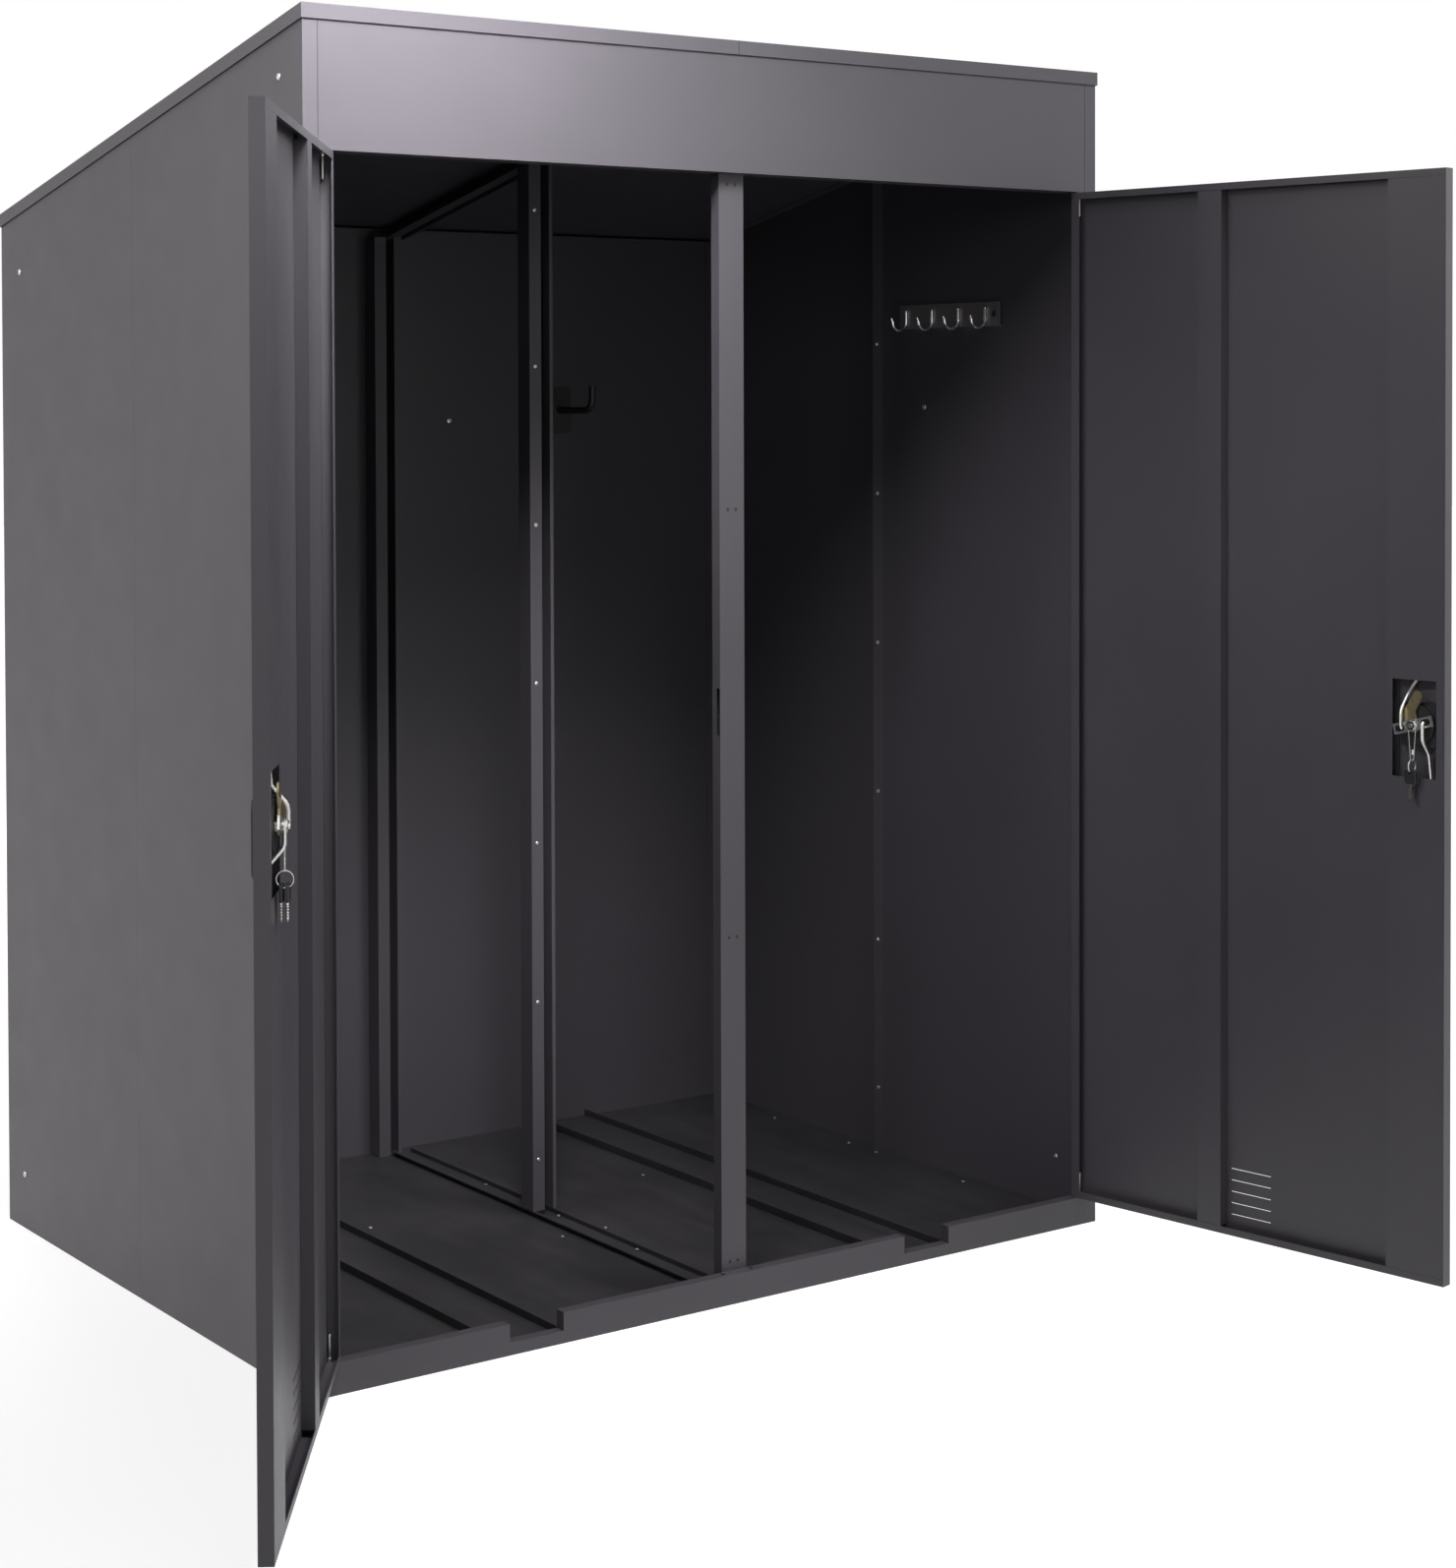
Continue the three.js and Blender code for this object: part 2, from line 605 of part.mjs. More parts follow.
function coatHook(y) {
  const back = HOOK_FACE - SEAT;
  const wire = back - HOOK_PLATE_SHEET;
  const plate = prism(
    rounded([y, HOOK_RAIL_CENTRE], HOOK_PLATE_WIDTH, HOOK_PLATE_HEIGHT, HOOK_PLATE_WIDTH / 3),
    "x", [wire, back]);
  const centre = vector(wire - HOOK_BEND, y, HOOK_RAIL_CENTRE - HOOK_DROP);
  const points = [vector(wire, y, HOOK_RAIL_CENTRE + HOOK_PLATE_HEIGHT / 3)];
  for (let i = 0; i <= CIRCLE_SIDES / 2; i++) {
    const angle = (2 * Math.PI * i) / CIRCLE_SIDES;
    points.push(vector(
      centre.x + HOOK_BEND * Math.cos(angle), y, centre.z - HOOK_BEND * Math.sin(angle)));
  }
  const tip = points[points.length - 1];
  points.push(vector(tip.x - HOOK_TIP / 2, y, tip.z + HOOK_TIP));
  return plate.add(bar(roundedRoute(points, HOOK_WIRE), HOOK_WIRE, HOOK_STEPS, WIRE_SIDES));
}

addTo(root, "coat_hook_rail", hookRail(), COAT);
for (let i = 0; i < HOOK_COUNT; i++) {
  addTo(root, `coat_hook_${i + 1}`, coatHook(HOOK_RAIL_REAR - HOOK_FIRST - i * HOOK_PITCH), CHROME);
}

// Wheel hook: a coated bar from a plate on the rear wall, turned up at its end
function wheelHook() {
  const wall = REAR - SHEET - SEAT;
  const plate = prism(
    rounded([BAY_CENTRE, WHEEL_HOOK_HEIGHT], WHEEL_HOOK_PLATE_WIDTH, WHEEL_HOOK_PLATE_HEIGHT, WHEEL_HOOK_PLATE_CORNER),
    "y", [wall - WHEEL_HOOK_PLATE_SHEET, wall]);
  const bendStart = wall - WHEEL_HOOK_REACH;
  const points = [vector(BAY_CENTRE, wall - WHEEL_HOOK_PLATE_SHEET / 2, WHEEL_HOOK_HEIGHT)];
  for (let i = 0; i <= CIRCLE_SIDES / 4; i++) {
    const angle = (2 * Math.PI * i) / CIRCLE_SIDES;
    points.push(vector(
      BAY_CENTRE,
      bendStart - WHEEL_HOOK_BEND * Math.sin(angle),
      WHEEL_HOOK_HEIGHT + WHEEL_HOOK_BEND * (1 - Math.cos(angle))));
  }
  const bendEnd = points[points.length - 1];
  points.push(bendEnd.clone().add(vector(0, 0, WHEEL_HOOK_TIP)));
  return plate.add(bar(roundedRoute(points, WHEEL_HOOK_RADIUS), WHEEL_HOOK_RADIUS, HOOK_STEPS, ROD_SIDES));
}

addBoth("wheel_hook", wheelHook(), BLACK_PLASTIC);

// Door leaf in its own frame: x from the hinge axis to the free edge, y inwards, z up
const LEAF_FACE = -PIVOT_SETBACK;
const LEAF_BACK = LEAF_FACE + LEAF_THICKNESS;
const fromFace = ([near, far]) => [LEAF_FACE + near, LEAF_FACE + far];

function leaf() {
  const panel = box([-LEAF_HEEL, LEAF_REACH], [LEAF_FACE, LEAF_BACK], [LEAF_BOTTOM, LEAF_TOP]);
  const hollow = box(
    [SHEET - LEAF_HEEL, LEAF_REACH - SHEET],
    [LEAF_FACE + SHEET, LEAF_BACK - SHEET],
    [LEAF_BOTTOM + SHEET, LEAF_TOP - SHEET]);
  const mouth = box(
    [HINGE_LIP - LEAF_HEEL, LEAF_REACH - SHEET],
    [LEAF_FACE + SHEET, LEAF_BACK + OVERRUN],
    [LEAF_BOTTOM + LEAF_LIP, LEAF_TOP - LEAF_LIP]);
  const full = [LEAF_BOTTOM - OVERRUN, LEAF_TOP + OVERRUN];
  const pinHoles = prism(circle([0, 0], PIN_RADIUS + SEAT, SMALL_SIDES), "z", full);
  const rodHoles = prism(
    circle([LOCK_PLACE + ROD_LINE, LEAF_FACE + ROD_DEPTH], ROD_RADIUS + SEAT, SMALL_SIDES), "z", full);
  const lockHole = prism(
    circle([LOCK_PLACE, LOCK_HEIGHT], DISH_RADIUS + SEAT), "y", [LEAF_FACE - OVERRUN, LEAF_FACE + SHEET + SEAT]);
  let cut = hollow.add(mouth).add(pinHoles).add(rodHoles).add(lockHole);
  for (let i = 0; i < VENT_COUNT; i++) {
    const low = LEAF_BOTTOM + VENT_FIRST + i * VENT_PITCH;
    const slot = rounded(
      [VENT_START + VENT_LENGTH / 2, low + VENT_HEIGHT / 2], VENT_LENGTH, VENT_HEIGHT, VENT_HEIGHT / 2);
    cut = cut.add(prism(slot, "y", [LEAF_FACE - OVERRUN, LEAF_FACE + SHEET + SEAT]));
  }
  return panel.subtract(cut);
}

const STIFFENER_SPAN = [LEAF_BOTTOM + LEAF_LIP + SEAT, LEAF_TOP - LEAF_LIP - SEAT];
const STIFFENER_LEVELS = [LEAF_FACE + SHEET + SEAT, LEAF_BACK - SHEET];

function midStiffener() {
  const [low, high] = STIFFENER_LEVELS;
  const end = STIFFENER_START + STIFFENER_WIDTH;
  const outline = fold([
    [STIFFENER_START + STIFFENER_FOOT, low + SHEET],
    [STIFFENER_START, low + SHEET],
    [STIFFENER_START, high],
    [end, high],
    [end, low + SHEET],
    [end - STIFFENER_FOOT, low + SHEET],
  ]);
  return prism(outline, "z", STIFFENER_SPAN);
}

function lockStiffener() {
  const [low, high] = STIFFENER_LEVELS;
  const start = LEAF_REACH - LOCK_STIFFENER_WIDTH;
  const end = LEAF_REACH - 2 * SHEET - SEAT;
  const outline = fold([
    [start + STIFFENER_FOOT, low + SHEET],
    [start, low + SHEET],
    [start, high],
    [end, high],
    [end, low],
  ]);
  const centre = LOCK_PLACE + WINDOW_SHIFT;
  const middle = LOCK_HEIGHT - WINDOW_DROP;
  const window = box(
    [centre - WINDOW_WIDTH / 2, centre + WINDOW_WIDTH / 2],
    [high - OVERRUN, high + SHEET + OVERRUN],
    [middle - WINDOW_HEIGHT / 2, middle + WINDOW_HEIGHT / 2]);
  return prism(outline, "z", STIFFENER_SPAN).subtract(window);
}

// Hinge pin: a plain bolt with chamfered ends that stands half inside the leaf
function hingePin([low, high]) {
  const profile = [
    [0, low],
    [PIN_RADIUS - PIN_CHAMFER, low],
    [PIN_RADIUS, low + PIN_CHAMFER],
    [PIN_RADIUS, high - PIN_CHAMFER],
    [PIN_RADIUS - PIN_CHAMFER, high],
    [0, high],
  ].map(([radius, z]) => new THREE.Vector2(radius, z));
  const geometry = new THREE.LatheGeometry(profile, SMALL_SIDES);
  return solidOf(geometry.rotateX(Math.PI / 2));
}

// Lock housing: a rounded plate on the face, a round dish through the leaf and the case inside it
function lockHousing() {
  const plate = prism(
    rounded([0, -PLATE_DROP], PLATE_WIDTH, PLATE_HEIGHT, PLATE_CORNER), "y", [-SEAT - PLATE_SHEET, -SEAT]);
  const inside = box(
    [-CASE_WIDTH / 2, CASE_WIDTH / 2], [SHEET + SEAT, CASE_DEPTH], [-CASE_HEIGHT / 2, CASE_HEIGHT / 2]);
  const cup = prism(circle([0, 0], DISH_RADIUS), "y", [-SEAT - PLATE_SHEET, DISH_DEPTH + DISH_FLOOR]);
  const recess = prism(circle([0, 0], DISH_RADIUS - DISH_WALL), "y", [-SEAT - PLATE_SHEET - OVERRUN, DISH_DEPTH]);
  const bore = prism(circle([0, 0], SHAFT_RADIUS + SEAT, SMALL_SIDES), "y", [-OVERRUN, LEAF_THICKNESS + OVERRUN]);
  return plate.add(cup).add(inside).subtract(recess).subtract(bore);
}

// Turning handle: a waisted grip on a round base, with the shaft, its square end and the nut
function handle() {
  const base = prism(circle([0, 0], GRIP_BASE_RADIUS), "y", [DISH_DEPTH - SEAT - GRIP_BASE, DISH_DEPTH - SEAT]);
  const levels = [-SEAT - PLATE_SHEET, DISH_DEPTH - SEAT];
  const grip = prism(rounded([0, 0], GRIP_WIDTH, GRIP_LENGTH, GRIP_WIDTH / 2), "y", levels);
  const boss = prism(circle([0, 0], GRIP_BOSS), "y", levels);
  const shaft = prism(circle([0, 0], SHAFT_RADIUS, SMALL_SIDES), "y", [DISH_DEPTH - GRIP_BASE, TONGUE_SPAN[0] - SEAT]);
  const half = SPINDLE_SQUARE / 2;
  const nutStart = CAM_SPAN[1] + NUT_STANDOFF;
  const square = box([-half, half], [TONGUE_SPAN[0] - OVERRUN, nutStart + NUT_HEIGHT / 2], [-half, half]);
  const nut = prism(circle([0, 0], NUT_RADIUS, NUT_SIDES), "y", [nutStart, nutStart + NUT_HEIGHT]);
  const socket = prism(
    circle([0, 0], CYLINDER_RADIUS + SEAT, SMALL_SIDES), "y",
    [levels[0] - OVERRUN, levels[0] + CYLINDER_DEPTH + SEAT]);
  return base.add(grip).add(boss).subtract(socket).add(shaft).add(square).add(nut);
}

function lockCylinder() {
  const front = -SEAT - PLATE_SHEET;
  const body = prism(circle([0, 0], CYLINDER_RADIUS, SMALL_SIDES), "y", [front, front + CYLINDER_DEPTH]);
  const keyway = box(
    [-KEYWAY_WIDTH / 2, KEYWAY_WIDTH / 2],
    [front - OVERRUN, front + KEYWAY_DEPTH],
    [-KEYWAY_LENGTH / 2, KEYWAY_LENGTH / 2]);
  return body.subtract(keyway);
}

const squareHole = (span) => {
  const half = SPINDLE_SQUARE / 2 + SEAT;
  return box([-half, half], [span[0] - OVERRUN, span[1] + OVERRUN], [-half, half]);
};

// Tongue, shown thrown: a cranked plate whose arm points to the free edge
function tongue() {
  const low = TONGUE_RISE - TONGUE_WIDTH / 2;
  const high = TONGUE_RISE + TONGUE_WIDTH / 2;
  const tip = TONGUE_REACH - TONGUE_WIDTH / 2;
  const hub = prism(circle([0, 0], TONGUE_HUB), "y", TONGUE_SPAN);
  const arm = prism(fold([[-TONGUE_HUB / 2, low], [tip, low]], TONGUE_WIDTH), "y", TONGUE_SPAN);
  const end = prism(circle([tip, TONGUE_RISE], TONGUE_WIDTH / 2), "y", TONGUE_SPAN);
  const web = prism([
    [-TONGUE_HUB, 0],
    [TONGUE_HUB, 0],
    [TONGUE_HUB + TONGUE_WIDTH / 2, low],
    [TONGUE_HUB, high],
    [-TONGUE_HUB / 2, high],
  ], "y", TONGUE_SPAN);
  return hub.add(arm).add(end).add(web).subtract(squareHole(TONGUE_SPAN));
}

// Cam plate, shown thrown: it slopes from the upper rod down to the lower one, with a slot for each
function flatBar(from, to, halfWidth, span) {
  const along = new THREE.Vector2(to[0] - from[0], to[1] - from[1]).normalize().multiplyScalar(halfWidth);
  const right = [along.y, -along.x];
  const strip = [
    [from[0] + right[0], from[1] + right[1]],
    [to[0] + right[0], to[1] + right[1]],
    [to[0] - right[0], to[1] - right[1]],
    [from[0] - right[0], from[1] - right[1]],
  ];
  return prism(strip, "y", span);
}

const roundEnded = (from, to, halfWidth, span) => flatBar(from, to, halfWidth, span)
  .add(prism(circle(from, halfWidth, SMALL_SIDES), "y", span))
  .add(prism(circle(to, halfWidth, SMALL_SIDES), "y", span));

function camPlate() {
  const onDiagonal = (radius) => [-radius * Math.SQRT1_2, radius * Math.SQRT1_2];
  const through = [CAM_SPAN[0] - OVERRUN, CAM_SPAN[1] + OVERRUN];
  const far = ROD_OFFSET * Math.SQRT2;
  const near = ROD_OFFSET / Math.cos(LOCK_ANGLE - Math.PI / 4);
  let plate = flatBar(onDiagonal(CAM_HALF), onDiagonal(-CAM_HALF), CAM_WIDTH / 2, CAM_SPAN);
  for (const side of [-1, 1]) {
    const slot = roundEnded(onDiagonal(side * near), onDiagonal(side * far), ROD_RADIUS + ROD_PLAY, through);
    plate = plate.subtract(slot);
  }
  return plate.subtract(squareHole(CAM_SPAN));
}

// Lock rod, shown thrown: hooked into the cam, cranked into the stiffener and straight to the leaf's end
function lockRod(side, end) {
  const hook = -side * ROD_OFFSET;
  const bent = roundedRoute([
    vector(hook, CAM_SPAN[0] + SEAT, side * ROD_OFFSET),
    vector(hook, ROD_LAYER, side * ROD_OFFSET),
    vector(hook, ROD_LAYER, side * ROD_CRANK_START),
    vector(hook, ROD_DEPTH, side * ROD_CRANK_END),
    vector(ROD_LINE, ROD_DEPTH, side * ROD_CROSS_END),
    vector(ROD_LINE, ROD_DEPTH, side * (ROD_CROSS_END + ROD_BEND)),
  ], ROD_BEND);
  const straightEnds = [side * ROD_CROSS_END, end + side * ROD_TRAVEL].sort((a, b) => a - b);
  const straight = prism(circle([ROD_LINE, ROD_DEPTH], ROD_RADIUS, ROD_SIDES), "z", straightEnds);
  return bar(bent, ROD_RADIUS, ROD_STEPS, ROD_SIDES).add(straight);
}

// Wire loop, ring and keys, which hang from the shaft between the cam and the nut
function wireLoop() {
  const points = [];
  const steps = SMALL_SIDES / 2;
  for (let i = 0; i <= steps; i++) {
    const angle = (Math.PI * i) / steps;
    points.push(vector(LOOP_TOP * Math.cos(angle), 0, LOOP_TOP * Math.sin(angle)));
  }
  for (let i = 0; i <= steps; i++) {
    const angle = Math.PI + (Math.PI * i) / steps;
    points.push(vector(LOOP_FOOT * Math.cos(angle), 0, LOOP_FOOT * Math.sin(angle) - LOOP_LENGTH + LOOP_FOOT));
  }
  return closedWire(points, WIRE_RADIUS);
}

// A closed wire through points in the plane y = 0
function closedWire(points, radius) {
  const rings = points.map((point, i) => {
    const next = points[(i + 1) % points.length];
    const last = points[(i + points.length - 1) % points.length];
    const along = next.clone().sub(last).normalize();
    const out = vector(along.z, 0, -along.x);
    return circle([0, 0], radius, WIRE_SIDES)
      .map(([a, b]) => point.clone().addScaledVector(out, a).add(vector(0, b, 0)));
  });
  const index = [];
  rings.forEach((ring, i) => {
    const other = ((i + 1) % rings.length) * WIRE_SIDES;
    for (let j = 0; j < WIRE_SIDES; j++) {
      const a = i * WIRE_SIDES + j;
      const b = i * WIRE_SIDES + ((j + 1) % WIRE_SIDES);
      index.push(a, other + j, b, b, other + j, other + ((j + 1) % WIRE_SIDES));
    }
  });
  const geometry = new THREE.BufferGeometry().setFromPoints(rings.flat());
  geometry.setIndex(index);
  const solid = solidOf(geometry);
  if (solid.volume() > 0) return solid;
  geometry.setIndex(index.reverse());
  return solidOf(geometry);
}

const keyRing = () => solidOf(
  new THREE.TorusGeometry(RING_RADIUS, RING_WIRE, WIRE_SIDES, RING_STEPS).rotateY(Math.PI / 2));

function key() {
  const headCentre = KEY_HOLE_INSET - KEY_HEAD_HEIGHT / 2;
  const head = prism(
    rounded([0, headCentre], KEY_HEAD_WIDTH, KEY_HEAD_HEIGHT, KEY_HEAD_CORNER),
    "y", [-KEY_HEAD_SHEET / 2, KEY_HEAD_SHEET / 2]);
  const hole = prism(
    circle([0, 0], KEY_HOLE, SMALL_SIDES), "y", [-KEY_HEAD_SHEET, KEY_HEAD_SHEET]);
  const neck = KEY_HOLE_INSET - KEY_HEAD_HEIGHT;
  const blade = box(
    [-KEY_BLADE_WIDTH / 2, KEY_BLADE_WIDTH / 2],
    [-KEY_BLADE_SHEET / 2, KEY_BLADE_SHEET / 2],
    [neck - KEY_BLADE_LENGTH, neck + KEY_BLADE_OVERLAP]);
  return head.subtract(hole).add(blade);
}

function addKeys(group, side) {
  const hang = new THREE.Group();
  hang.position.y = CAM_SPAN[1] + NUT_STANDOFF / 2;
  group.add(hang);
  addTo(hang, `key_wire_${side}`, wireLoop(), ZINC);
  const ringCentre = WIRE_RADIUS + RING_WIRE + SEAT - LOOP_LENGTH - RING_RADIUS;
  addTo(hang, `key_ring_${side}`, keyRing(), ZINC).position.z = ringCentre;
  const outerFace = ((KEY_COUNT - 1) * KEY_SPREAD + KEY_HEAD_SHEET) / 2;
  const below = Math.sqrt(RING_RADIUS ** 2 - outerFace ** 2);
  for (let i = 0; i < KEY_COUNT; i++) {
    const across = (i - (KEY_COUNT - 1) / 2) * KEY_SPREAD;
    addTo(hang, `key_${i + 1}_${side}`, key(), BLACK_PLASTIC)
      .position.set(0, across, ringCentre - below + 2 * RING_WIRE - KEY_HOLE);
  }
}

// A whole door. The left one is drawn as it is and the right one mirrored, and both stand open.
function addDoor(side, sign, open) {
  const door = new THREE.Group();
  door.position.set(sign * (SIDE - PIVOT_INSET), FRONT + PIVOT_SETBACK, 0);
  door.rotation.z = sign * THREE.MathUtils.degToRad(open);
  door.scale.x = -sign;
  root.add(door);
  addTo(door, `door_leaf_${side}`, leaf(), COAT);
  addTo(door, `door_stiffener_${side}`, midStiffener(), COAT);
  addTo(door, `lock_stiffener_${side}`, lockStiffener(), COAT);
  addTo(door, `hinge_pin_upper_${side}`, hingePin([LEAF_TOP - PIN_INSIDE, LEAF_TOP + PIN_OUTSIDE]), ZINC);
  addTo(door, `hinge_pin_lower_${side}`, hingePin([LEAF_BOTTOM - PIN_OUTSIDE, LEAF_BOTTOM + PIN_INSIDE]), ZINC);

  const lock = new THREE.Group();
  lock.position.set(LOCK_PLACE, LEAF_FACE, LOCK_HEIGHT);
  door.add(lock);
  addTo(lock, `lock_housing_${side}`, lockHousing(), BLACK_PLASTIC);
  const turning = new THREE.Group();
  turning.rotation.y = -LOCK_ANGLE;
  lock.add(turning);
  addTo(turning, `lock_handle_${side}`, handle(), BLACK_PLASTIC);
  addTo(turning, `lock_cylinder_${side}`, lockCylinder(), ZINC);
  addTo(turning, `lock_tongue_${side}`, tongue(), YELLOW_ZINC);
  addTo(turning, `lock_cam_${side}`, camPlate(), ZINC);
  const upper = addTo(lock, `lock_rod_upper_${side}`, lockRod(1, LEAF_TOP - LOCK_HEIGHT), ZINC);
  const lower = addTo(lock, `lock_rod_lower_${side}`, lockRod(-1, LEAF_BOTTOM - LOCK_HEIGHT), ZINC);
  upper.position.z = -ROD_TRAVEL;
  lower.position.z = ROD_TRAVEL;
  addKeys(lock, side);
}

addDoor("left", -1, LEFT_DOOR_TURN);
addDoor("right", 1, RIGHT_DOOR_TURN);

export default root;
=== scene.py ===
"""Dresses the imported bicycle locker: coated sheet steel, lock hardware, fasteners, stage and lights.
Lengths are in metres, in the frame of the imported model."""

import json
import math

import bmesh
import bpy
from mathutils import Matrix, Vector


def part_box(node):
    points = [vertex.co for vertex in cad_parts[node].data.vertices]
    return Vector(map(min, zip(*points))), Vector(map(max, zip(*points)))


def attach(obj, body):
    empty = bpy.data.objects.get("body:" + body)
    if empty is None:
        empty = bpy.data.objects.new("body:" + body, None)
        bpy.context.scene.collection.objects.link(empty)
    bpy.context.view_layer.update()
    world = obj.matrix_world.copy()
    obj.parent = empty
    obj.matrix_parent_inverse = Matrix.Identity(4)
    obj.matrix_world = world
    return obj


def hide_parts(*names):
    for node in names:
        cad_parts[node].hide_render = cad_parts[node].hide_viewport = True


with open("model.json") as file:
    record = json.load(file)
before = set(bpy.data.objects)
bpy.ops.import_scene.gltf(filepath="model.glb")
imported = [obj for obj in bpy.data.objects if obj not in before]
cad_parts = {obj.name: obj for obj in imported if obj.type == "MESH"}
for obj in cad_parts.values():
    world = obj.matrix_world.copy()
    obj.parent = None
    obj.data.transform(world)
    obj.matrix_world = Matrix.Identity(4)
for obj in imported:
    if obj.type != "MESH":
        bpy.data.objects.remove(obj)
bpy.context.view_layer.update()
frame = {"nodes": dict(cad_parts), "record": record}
NODES = frame["nodes"]

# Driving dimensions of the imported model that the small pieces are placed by
HALF_WIDTH = 0.8
HALF_DEPTH = 0.6
SHEET = 0.0015
PIVOT = {"right": Vector((0.765, -0.595, 0)), "left": Vector((-0.765, -0.595, 0))}
OPEN_ANGLE = {"right": math.radians(99.4), "left": math.radians(-123.9)}
MIRROR = {"right": -1, "left": 1}
LEAF_FACE = -0.005
LEAF_BOTTOM = 0.052
LEAF_TOP = 1.880
LOCK_PLACE = Vector((0.7087, LEAF_FACE, 0.970))
LOCK_TURN = math.radians(60)

# Camera, fitted to the photograph: angles in degrees, image sizes in pixels, sensor in millimetres
IMAGE_SIZE = (1480, 1594)
CAMERA_PLACE = (-2.7608, -4.4311, 1.4974)
CAMERA_YAW = 35.84
CAMERA_PITCH = 1.25
CAMERA_ROLL = 0.16
FOCAL_PIXELS = 2894.7
PRINCIPAL_POINT = (754.5, 475.2)
SENSOR = 36
CLIP_START = 0.05
CLIP_END = 60


def add_camera():
    camera = bpy.data.objects.new("camera", bpy.data.cameras.new("camera"))
    bpy.context.scene.collection.objects.link(camera)
    bpy.context.scene.camera = camera
    camera.location = CAMERA_PLACE
    turn = Matrix.Rotation(math.radians(-CAMERA_YAW), 4, "Z")
    tilt = Matrix.Rotation(math.radians(90 - CAMERA_PITCH), 4, "X")
    roll = Matrix.Rotation(math.radians(-CAMERA_ROLL), 4, "Z")
    camera.rotation_euler = (turn @ tilt @ roll).to_euler()
    data = camera.data
    longest = max(IMAGE_SIZE)
    data.sensor_width = SENSOR
    data.lens = FOCAL_PIXELS * SENSOR / longest
    data.shift_x = (IMAGE_SIZE[0] / 2 - PRINCIPAL_POINT[0]) / longest
    data.shift_y = (PRINCIPAL_POINT[1] - IMAGE_SIZE[1] / 2) / longest
    data.clip_start = CLIP_START
    data.clip_end = CLIP_END


# Material nodes
TONE_STOPS = (0.3, 0.7)


def grey(value):
    return (value, value, value)


class Nodes:
    """A material's node tree with short calls for the nodes that this script uses."""

    def __init__(self, name):
        self.material = bpy.data.materials.new(name)
        self.material.use_nodes = True
        self.tree = self.material.node_tree
        self.shader = self.tree.nodes["Principled BSDF"]
        self.place = self.add("ShaderNodeTexCoord").outputs["Object"]

    def add(self, kind, **values):
        node = self.tree.nodes.new(kind)
        for key, value in values.items():
            setattr(node, key, value)
        return node

    def link(self, source, target):
        self.tree.links.new(source, target)

    def noise(self, scale, detail=3, roughness=0.5, stretch=(1, 1, 1)):
        mapping = self.add("ShaderNodeMapping")
        mapping.inputs["Scale"].default_value = stretch
        self.link(self.place, mapping.inputs["Vector"])
        noise = self.add("ShaderNodeTexNoise")
        noise.inputs["Scale"].default_value = scale
        noise.inputs["Detail"].default_value = detail
        noise.inputs["Roughness"].default_value = roughness
        self.link(mapping.outputs["Vector"], noise.inputs["Vector"])
        return noise.outputs["Fac"]

    def ramp(self, factor, first, second, stops=TONE_STOPS):
        """A colour that goes from the first to the second as the factor passes between the two stops."""
        ramp = self.add("ShaderNodeValToRGB")
        for element, position, colour in zip(ramp.color_ramp.elements, stops, (first, second)):
            element.position = position
            element.color = (*colour, 1)
        self.link(factor, ramp.inputs["Fac"])
        return ramp.outputs["Color"]

    def spread(self, factor, low, high):
        """A factor spread between two values."""
        node = self.add("ShaderNodeMapRange")
        node.inputs["To Min"].default_value = low
        node.inputs["To Max"].default_value = high
        self.link(factor, node.inputs["Value"])
        return node.outputs["Result"]

    def mix(self, factor, first, second, blend="MIX"):
        node = self.add("ShaderNodeMix", data_type="RGBA", blend_type=blend)
        if isinstance(factor, float):
            node.inputs["Factor"].default_value = factor
        else:
            self.link(factor, node.inputs["Factor"])
        for value, socket in ((first, node.inputs[6]), (second, node.inputs[7])):
            if isinstance(value, tuple):
                socket.default_value = (*value, 1)
            else:
                self.link(value, socket)
        return node.outputs[2]

    def bump(self, height, strength, distance, below=None):
        """Bump on the shader, over the bump below it where there is one."""
        node = self.add("ShaderNodeBump")
        node.inputs["Strength"].default_value = strength
        node.inputs["Distance"].default_value = distance
        self.link(height, node.inputs["Height"])
        if below is not None:
            self.link(below, node.inputs["Normal"])
        self.link(node.outputs["Normal"], self.shader.inputs["Normal"])
        return node.outputs["Normal"]

    def set(self, **values):
        for key, value in values.items():
            self.shader.inputs[key.replace("_", " ")].default_value = value


# Powder coat: settings of its noises, tones, roughness, and bump as strength and height
PEEL = {"scale": 900, "detail": 2}
PEEL_TONES = (0.82, 1.12)
PEEL_STOPS = (0.35, 0.65)
PEEL_SHARE = 0.6
PEEL_BUMP = (0.10, 0.0003)
CLOUD = {"scale": 1.7, "detail": 4, "roughness": 0.6}
WAVE = {"scale": 2.2, "detail": 1}
WAVE_BUMP = (0.06, 0.004)
COAT_GLOSS = {"scale": 14, "detail": 5}
COAT_ROUGHNESS = (0.40, 0.52)
COAT_IOR = 1.5

# Dust and scuffs on the floor's coat
PATCHES = {"scale": 5.5, "detail": 8, "roughness": 0.68}
STREAKS = {"scale": 22, "detail": 6, "roughness": 0.7, "stretch": (1, 0.12, 1)}
STREAK_SHARE = 0.5
DUST_STOPS = (0.44, 0.72)
DUST_COLOUR = (0.17, 0.16, 0.15)


def dusty(m, colour, dust):
    """The colour under patches and streaks of dust."""
    both = m.mix(STREAK_SHARE, m.noise(**PATCHES), m.noise(**STREAKS))
    return m.mix(m.ramp(both, grey(0), grey(dust), DUST_STOPS), colour, DUST_COLOUR)


